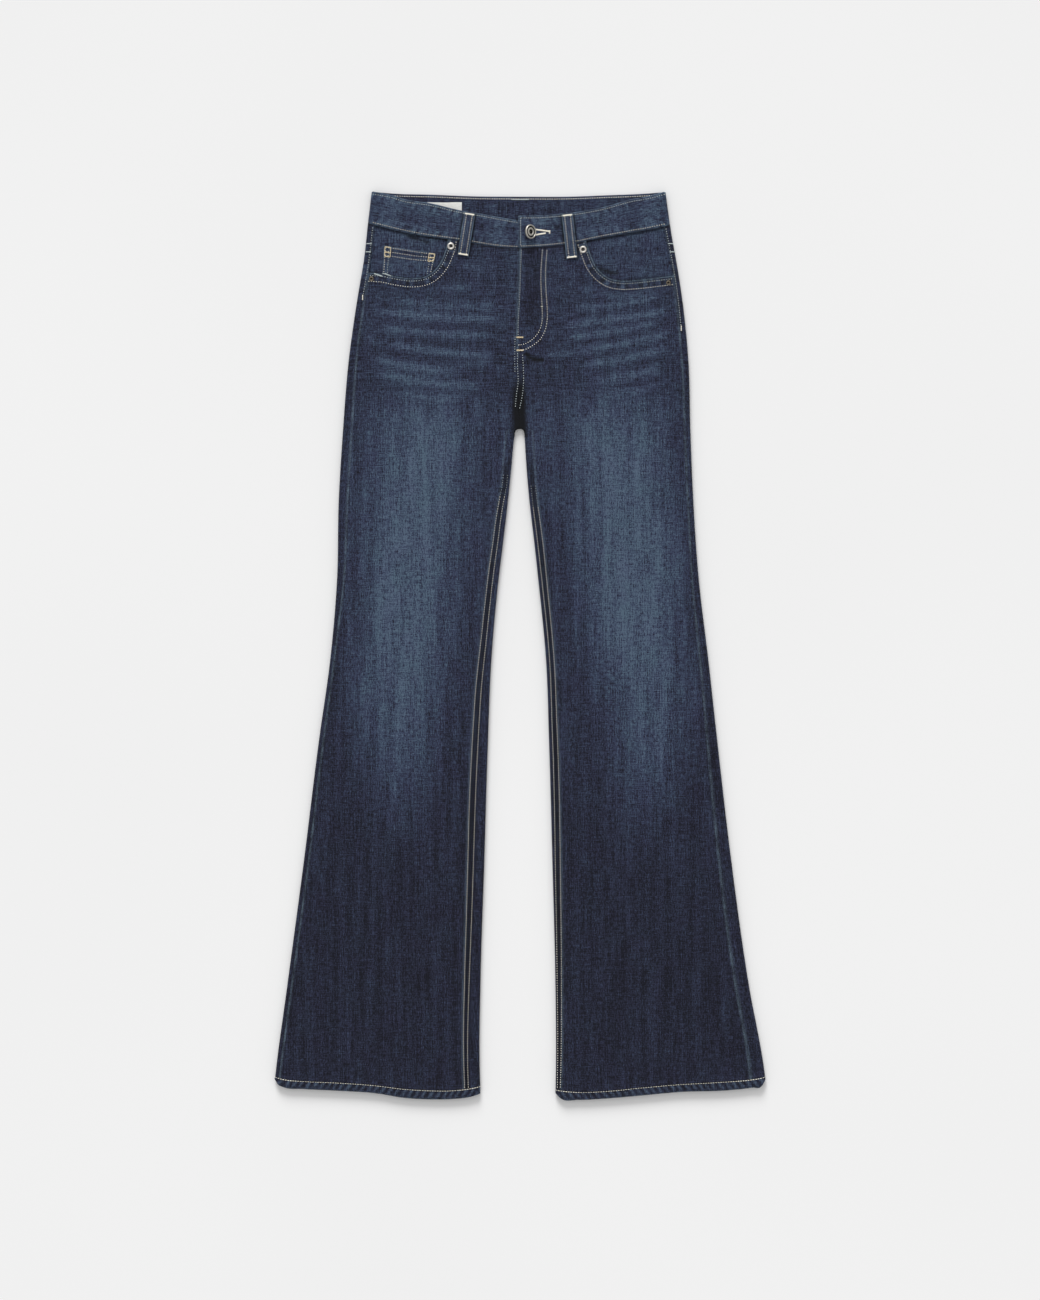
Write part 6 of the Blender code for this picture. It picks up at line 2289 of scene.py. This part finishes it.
class Nodes:
    """Short calls for a node tree: adds a node, sets its values and links its inputs."""

    def __init__(self, tree: NodeTree) -> None:
        """Works on the given tree."""
        self.tree = tree

    def fill(self, node: Node, inputs: dict) -> None:
        """Links or sets a node's inputs, by name or number."""
        for key, value in inputs.items():
            if isinstance(value, Value):
                self.tree.links.new(value.socket, node.inputs[key])
            else:
                node.inputs[key].default_value = value

    def add(self, kind: str, inputs: Optional[dict] = None, **settings: object) -> Node:
        """A node of one kind, with its settings, and its inputs linked or set."""
        node = self.tree.nodes.new(kind)
        for key, value in settings.items():
            setattr(node, key, value)
        self.fill(node, inputs or {})
        return node

    def read(self, node: Node, *outputs: object) -> list[Value]:
        """Outputs of a node, by name or number."""
        return [Value(self, node.outputs[output]) for output in outputs]

    def maths(self, operation: str, first: object, second: object = 0.0) -> Value:
        """Result of one sum on two values."""
        return self.read(self.add("ShaderNodeMath", {0: first, 1: second}, operation=operation), 0)[0]

    def attribute(self, name: str) -> Value:
        """A named attribute of the mesh."""
        return self.read(self.add("ShaderNodeAttribute", attribute_name=name), "Fac")[0]

    def cut_cloth(self) -> Value:
        """Place on the cut cloth, in metres."""
        return self.read(self.add("ShaderNodeUVMap", uv_map="cloth"), "UV")[0]

    def place(self) -> Value:
        """Place on the piece, in metres."""
        return self.read(self.add("ShaderNodeTexCoord"), "Object")[0]

    def noise(
        self, place: Value, cells: Sequence[float], detail: float = 2.0, rough: float = 0.5,
    ) -> Value:
        """Smooth noise about one half.

        Args:
            place: where it is read.
            cells: number of cells in each unit of length, in each direction.
            detail: number of finer layers.
            rough: strength of each finer layer.

        Returns:
            The noise.
        """
        scaled = self.add("ShaderNodeVectorMath", {0: place, 1: cells}, operation="MULTIPLY")
        vector = self.read(scaled, 0)[0]
        inputs = {"Vector": vector, "Scale": 1.0, "Detail": detail, "Roughness": rough}
        return self.read(self.add("ShaderNodeTexNoise", inputs), "Fac")[0]

    def mix(self, factor: object, first: object, second: object, blend: str = "MIX") -> Value:
        """Mix of two colours."""
        inputs = {"Factor": factor, 6: first, 7: second}
        return self.read(self.add("ShaderNodeMix", inputs, data_type="RGBA", blend_type=blend), 2)[0]

    def ramp(self, factor: Value, stops: Sequence[tuple]) -> Value:
        """Colour by a value, from stops of (place, colour as seen)."""
        node = self.add("ShaderNodeValToRGB", {"Fac": factor})
        points = node.color_ramp.elements
        while len(points) < len(stops):
            points.new(0.5)
        for point, (place, seen) in zip(points, stops):
            point.position, point.color = place, shade(*seen)
        return self.read(node, "Color")[0]

    def bump(self, height: Value, distance: float, strength: float) -> Value:
        """Normal tilted by a height."""
        inputs = {"Height": height, "Distance": distance, "Strength": strength}
        return self.read(self.add("ShaderNodeBump", inputs), "Normal")[0]


def new_group(name: str, inputs: dict, outputs: dict) -> tuple[Nodes, Node, Node]:
    """A shader node group: its node calls, its input node and its output node.

    Args:
        name: of the group.
        inputs: kind of each input socket, by name.
        outputs: kind of each output socket, by name.

    Returns:
        The node calls, the node that gives the inputs and the node that takes the outputs.
    """
    tree = bpy.data.node_groups.new(name, "ShaderNodeTree")
    for way, sockets in (("INPUT", inputs), ("OUTPUT", outputs)):
        for socket, kind in sockets.items():
            tree.interface.new_socket(socket, in_out=way, socket_type=kind)
    nodes = Nodes(tree)
    return nodes, nodes.add("NodeGroupInput"), nodes.add("NodeGroupOutput")


def weave_group() -> NodeTree:
    """Slubby twill, by place on the cut cloth in metres.

    Warp slubs are noise stretched along the cloth, weft bars noise stretched across it, and the
    twill is a sine of the diagonal distance. Grain is their weighted sum about nought, with
    bars across the hips and broad streaks down the legs. Height is the thread relief, and
    Drift a slow change of colour.
    """
    number = "NodeSocketFloat"
    nodes, given, out = new_group(
        "denim_weave", {"Cloth": "NodeSocketVector"},
        {"Grain": number, "Height": number, "Drift": number},
    )
    cloth = nodes.read(given, "Cloth")[0]
    slub = nodes.noise(cloth, (900, 26, 1), 2.0, 0.6)
    fine = nodes.noise(cloth, (900, 190, 1), 1.0)
    bars = nodes.noise(cloth, (70, 950, 1), 1.0)
    grain = nodes.noise(cloth, (800, 700, 1), 1.0, 0.6)
    broad = nodes.noise(cloth, (110, 6, 1))
    drift = nodes.noise(cloth, (48, 30, 1))
    total: object = 0.0
    for value, weight in ((slub, 1.5), (fine, 1.6), (bars, 1.1), (grain, 1.7)):
        total = (value - 0.5) * weight + total
    x, y = nodes.read(nodes.add("ShaderNodeSeparateXYZ", {0: cloth}), "X", "Y")
    step = nodes.add(
        "ShaderNodeMapRange", {"Value": y, "From Min": HIPS_FROM, "From Max": HIPS_FULL},
        interpolation_type="SMOOTHSTEP",
    )
    hips = nodes.read(step, "Result")[0]
    streaks = nodes.noise(cloth, (4.5, 115, 1))
    weft = nodes.noise(cloth, (60, 950, 1), 1.0)
    rows = (streaks - 0.5) * 0.4 + (weft - 0.5) * 0.9
    total = rows * hips + total
    legs = (1.0 - hips) * (broad - 0.5)
    total = legs * 0.8 + total
    diagonal = x * 5600.0 + y * 3900.0
    twill = nodes.maths("SINE", diagonal + fine * 2.5)
    nodes.fill(out, {"Grain": total, "Height": twill * 0.25 + total * 0.9, "Drift": drift - 0.5})
    return nodes.tree


def new_material(name: str) -> tuple[Material, Nodes, Node]:
    """A material with its node calls and its Principled shader."""
    made = bpy.data.materials.new(name)
    made.use_nodes = True
    return made, Nodes(made.node_tree), made.node_tree.nodes["Principled BSDF"]


@dataclass(frozen=True)
class DenimFinish:
    """Washed indigo twill: deep where unworn, teal grey where faded, pale along rubbed edges, near
    black where ink and painted shade darken it.
    """

    roughness: float = 0.92
    specular: float = 0.18
    sheen: float = 0.06
    sheen_roughness: float = 0.5
    grain_depth: float = 0.95
    blues: tuple = (
        (0.0, (17, 19, 29)), (0.15, (32, 35, 50)), (0.35, (41, 47, 66)),
        (0.5, (50, 60, 82)), (0.8, (64, 80, 99)), (1.0, (80, 99, 116)),
    )
    violet: tuple = (1.05, 0.94, 1.02, 1.0)
    # Near black of the ink and of the painted shade.
    inked_and_shaded: Seen = (14, 15, 18)
    rubbed: Seen = (104, 124, 137)

    def make(self, weave: NodeTree) -> Material:
        """Builds the material from the fade and rub attributes, the attribute of ink and painted
        shade, and the weave group.

        The blue is read at 0.15 + 0.65 fade + 0.12 drift + grain * depth, where the grain's
        depth grows with the fade.
        """
        made, nodes, shader = new_material("washed_denim")
        cloth = nodes.cut_cloth()
        woven = nodes.add("ShaderNodeGroup", {"Cloth": cloth}, node_tree=weave)
        grain, height, drift = nodes.read(woven, "Grain", "Height", "Drift")
        fade, rub, ink_tarnish_and_shade = (nodes.attribute(name) for name in ("fade", "rub", "ink_tarnish_and_shade"))
        marks = fade * 0.65 + 0.15 + drift * 0.12
        depth = fade * (0.45 * self.grain_depth) + 0.6 * self.grain_depth
        base = nodes.ramp((marks + grain * depth).held(), self.blues)
        tinted = nodes.mix((drift * -2.6 + 0.45).held(), base, self.violet, "MULTIPLY")
        # Ink and painted shade darken the blue towards near black.
        dark = nodes.mix((ink_tarnish_and_shade * 0.96).held(), tinted, shade(*self.inked_and_shaded))
        thread = (0.55 + grain * 0.7).held()
        pale = nodes.mix((rub * thread).held(), dark, shade(*self.rubbed))
        nodes.fill(
            shader,
            {
                "Base Color": pale, "Normal": nodes.bump(height, 0.00022, 0.55),
                "Roughness": self.roughness, "Specular IOR Level": self.specular,
                "Sheen Weight": self.sheen, "Sheen Roughness": self.sheen_roughness,
            },
        )
        return made


@dataclass(frozen=True)
class ThreadFinish:
    """Twisted sewing thread: cream, gold or a washed blue grey, by the tone attribute."""

    roughness: float = 0.7
    tones: tuple = (
        (0.0, (255, 252, 242)), (0.3, (244, 236, 214)), (0.45, (226, 208, 170)),
        (0.6, (210, 192, 154)), (0.72, (204, 212, 210)), (1.0, (178, 190, 194)),
    )
    lint: Seen = (70, 66, 62)

    def make(self) -> Material:
        """Builds the material, mottled a little by fine noise."""
        made, nodes, shader = new_material("sewing_thread")
        tone = nodes.attribute("tone")
        fuzz = nodes.noise(nodes.place(), (2600, 2600, 2600), 1.0)
        colour = nodes.ramp(tone, self.tones)
        mottled = nodes.mix(fuzz * 0.14, colour, shade(*self.lint))
        nodes.fill(
            shader,
            {
                "Base Color": mottled, "Normal": nodes.bump(fuzz, 0.0001, 0.5),
                "Roughness": self.roughness,
            },
        )
        return made


@dataclass(frozen=True)
class MetalFinish:
    """Antiqued metal: bright where rubbed, dark in the hollows, by noise on the piece."""

    name: str
    bright: Seen
    dark: Seen
    roughness: float
    tarnish: Seen = (16, 16, 17)

    def make(self) -> Material:
        """Builds the material; hollows are marked by the attribute that carries the profile's
        tarnish.
        """
        made, nodes, shader = new_material(self.name)
        place = nodes.place()
        cloud = nodes.noise(place, (700, 700, 700), 3.0, 0.6)
        speck = nodes.noise(place, (3000, 3000, 3000), 2.0, 0.6)
        hollow = nodes.attribute("ink_tarnish_and_shade")
        polished = nodes.mix((0.55 + cloud * 0.6).held(), shade(*self.dark), shade(*self.bright))
        colour = nodes.mix(hollow, polished, shade(*self.tarnish))
        rough = (self.roughness + speck * 0.25).held()
        nodes.fill(
            shader,
            {
                "Base Color": colour, "Roughness": rough, "Normal": nodes.bump(speck, 0.00006, 0.4),
                "Metallic": 1.0,
            },
        )
        return made


@dataclass(frozen=True)
class RibbonFinish:
    """White woven ribbon with fine cross threads."""

    roughness: float = 0.8
    whites: tuple = ((0.1, (206, 206, 202)), (0.45, (240, 240, 236)))

    def make(self) -> Material:
        """Builds the material; the weave is noise stretched across times noise stretched along."""
        made, nodes, shader = new_material("white_ribbon")
        cloth = nodes.cut_cloth()
        across = nodes.noise(cloth, (300, 2400, 1), 1.0)
        along = nodes.noise(cloth, (2400, 300, 1), 1.0)
        weave = across * along
        colour = nodes.ramp(weave, self.whites)
        nodes.fill(
            shader,
            {
                "Base Color": colour, "Normal": nodes.bump(weave, 0.0001, 0.5),
                "Roughness": self.roughness,
            },
        )
        return made


@dataclass(frozen=True)
class Studio:
    """Pale floor, soft light from the waist's side and the camera straight above."""

    view_height: float = 1.560
    centre_y: float = -0.00504
    plane_z: float = 0.007
    distance: float = 4.5
    sky: float = 0.64
    sun: float = 2.64
    sun_lean: float = 65.0
    sun_turn: float = 8.0
    sun_spread: float = 26.0
    sensor: float = 36.0
    floor_reach: float = 15000.0
    floor_tints: tuple = ((0.3, (240, 240, 240)), (0.7, (242, 242, 242)))

    def build(self) -> None:
        """Makes the floor, the lights and the camera, and sets the plain view of colours."""
        half = self.floor_reach
        corners = np.array(((-half, -half, 0), (half, -half, 0), (half, half, 0), (-half, half, 0)))
        made, nodes, shader = new_material("pale_floor")
        tint = nodes.ramp(nodes.noise(nodes.place(), (1.5, 1.5, 1.5), 1.0), self.floor_tints)
        nodes.fill(shader, {"Base Color": tint, "Roughness": 1.0, "Specular IOR Level": 0.0})
        floor = make_piece("floor", corners, np.array(((0, 1, 2, 3),)), made, turn_out=False)
        world = bpy.data.worlds.new("soft_sky")
        world.use_nodes = True
        Nodes(world.node_tree).fill(
            world.node_tree.nodes["Background"], {"Color": (1, 1, 1, 1), "Strength": self.sky},
        )
        scene = bpy.context.scene
        scene.world = world
        lamp = bpy.data.lights.new("soft_light", "SUN")
        lamp.energy = self.sun
        lamp.angle = math.radians(self.sun_spread)
        sun = bpy.data.objects.new("soft_light", lamp)
        scene.collection.objects.link(sun)
        sun.rotation_euler = (-math.radians(self.sun_lean), 0, math.radians(self.sun_turn))
        view = bpy.data.cameras.new("camera")
        camera = bpy.data.objects.new("camera", view)
        scene.collection.objects.link(camera)
        view.sensor_width = self.sensor
        view.lens = view.sensor_width * self.distance / self.view_height
        view.clip_end = 50.0
        camera.location = (0, self.centre_y, self.plane_z + self.distance)
        scene.camera = camera
        scene.view_settings.view_transform = "Standard"
        scene.view_settings.look = "None"


def main() -> None:
    """Builds the jeans piece by piece, then the studio round them."""
    weave = weave_group()
    denim = DenimFinish().make(weave)
    thread = ThreadFinish().make()
    pewter = MetalFinish("antique_pewter", (206, 202, 194), (110, 107, 104), 0.32).make()
    silver = MetalFinish("rubbed_silver", (232, 228, 222), (150, 146, 140), 0.28).make()
    copper = MetalFinish("aged_copper", (136, 126, 112), (56, 50, 46), 0.34).make()
    Studio().build()
    bands, pockets, hems = {}, {}, []
    for side, leg in LEGS.items():
        panels = Panels(leg, denim)
        panels.front()
        panels.yoke()
        panels.back()
        hems.append(Hem(leg, denim))
        hems[-1].build()
        bands[side] = Waistband(leg, denim)
        bands[side].build()
        pockets[side] = Pockets(leg, denim)
        pockets[side].facing()
        pockets[side].back_pocket()
        FrontSewing(leg, thread).build()
    pockets[Side.LEFT].coin_pocket()
    loops = [BeltLoop(*sizes, denim) for sizes in FRONT_LOOPS]
    loops += [BeltLoop(*sizes, denim, behind=True) for sizes in BACK_LOOPS]
    for loop in loops:
        loop.build()
    trims = TrimSewing(bands, loops, pockets, hems, thread)
    trims.band()
    trims.loop_rows()
    trims.coin_rows()
    trims.hem_rows()
    trims.under_rows()
    band_top = UNDER + 2 * FOLD_RADIUS + BAND_PROUD + OVERLAP_LIFT
    rise = BUTTON_RADIUS * math.sin(math.radians(BUTTON_TILT)) + BUTTON_PROUD
    Fastener(
        "shank_button", "button", "pewter", BUTTON_PROFILE, (*BUTTON_AT, band_top + rise), pewter,
        BUTTON_TILT, 72,
    ).build()
    for node, (x, y), size in RIVETS:
        z = float(on_front(np.array([x]), np.array([y]))[0]) + RIVET_PROUD
        slot, finish = ("aged_copper", copper) if "side" in node else ("pewter", silver)
        Fastener(node + "_cap", node, slot, rivet_profile(size), (x, y, z), finish).build()
    woven_label(RibbonFinish().make())


if __name__ == "__main__":
    main()
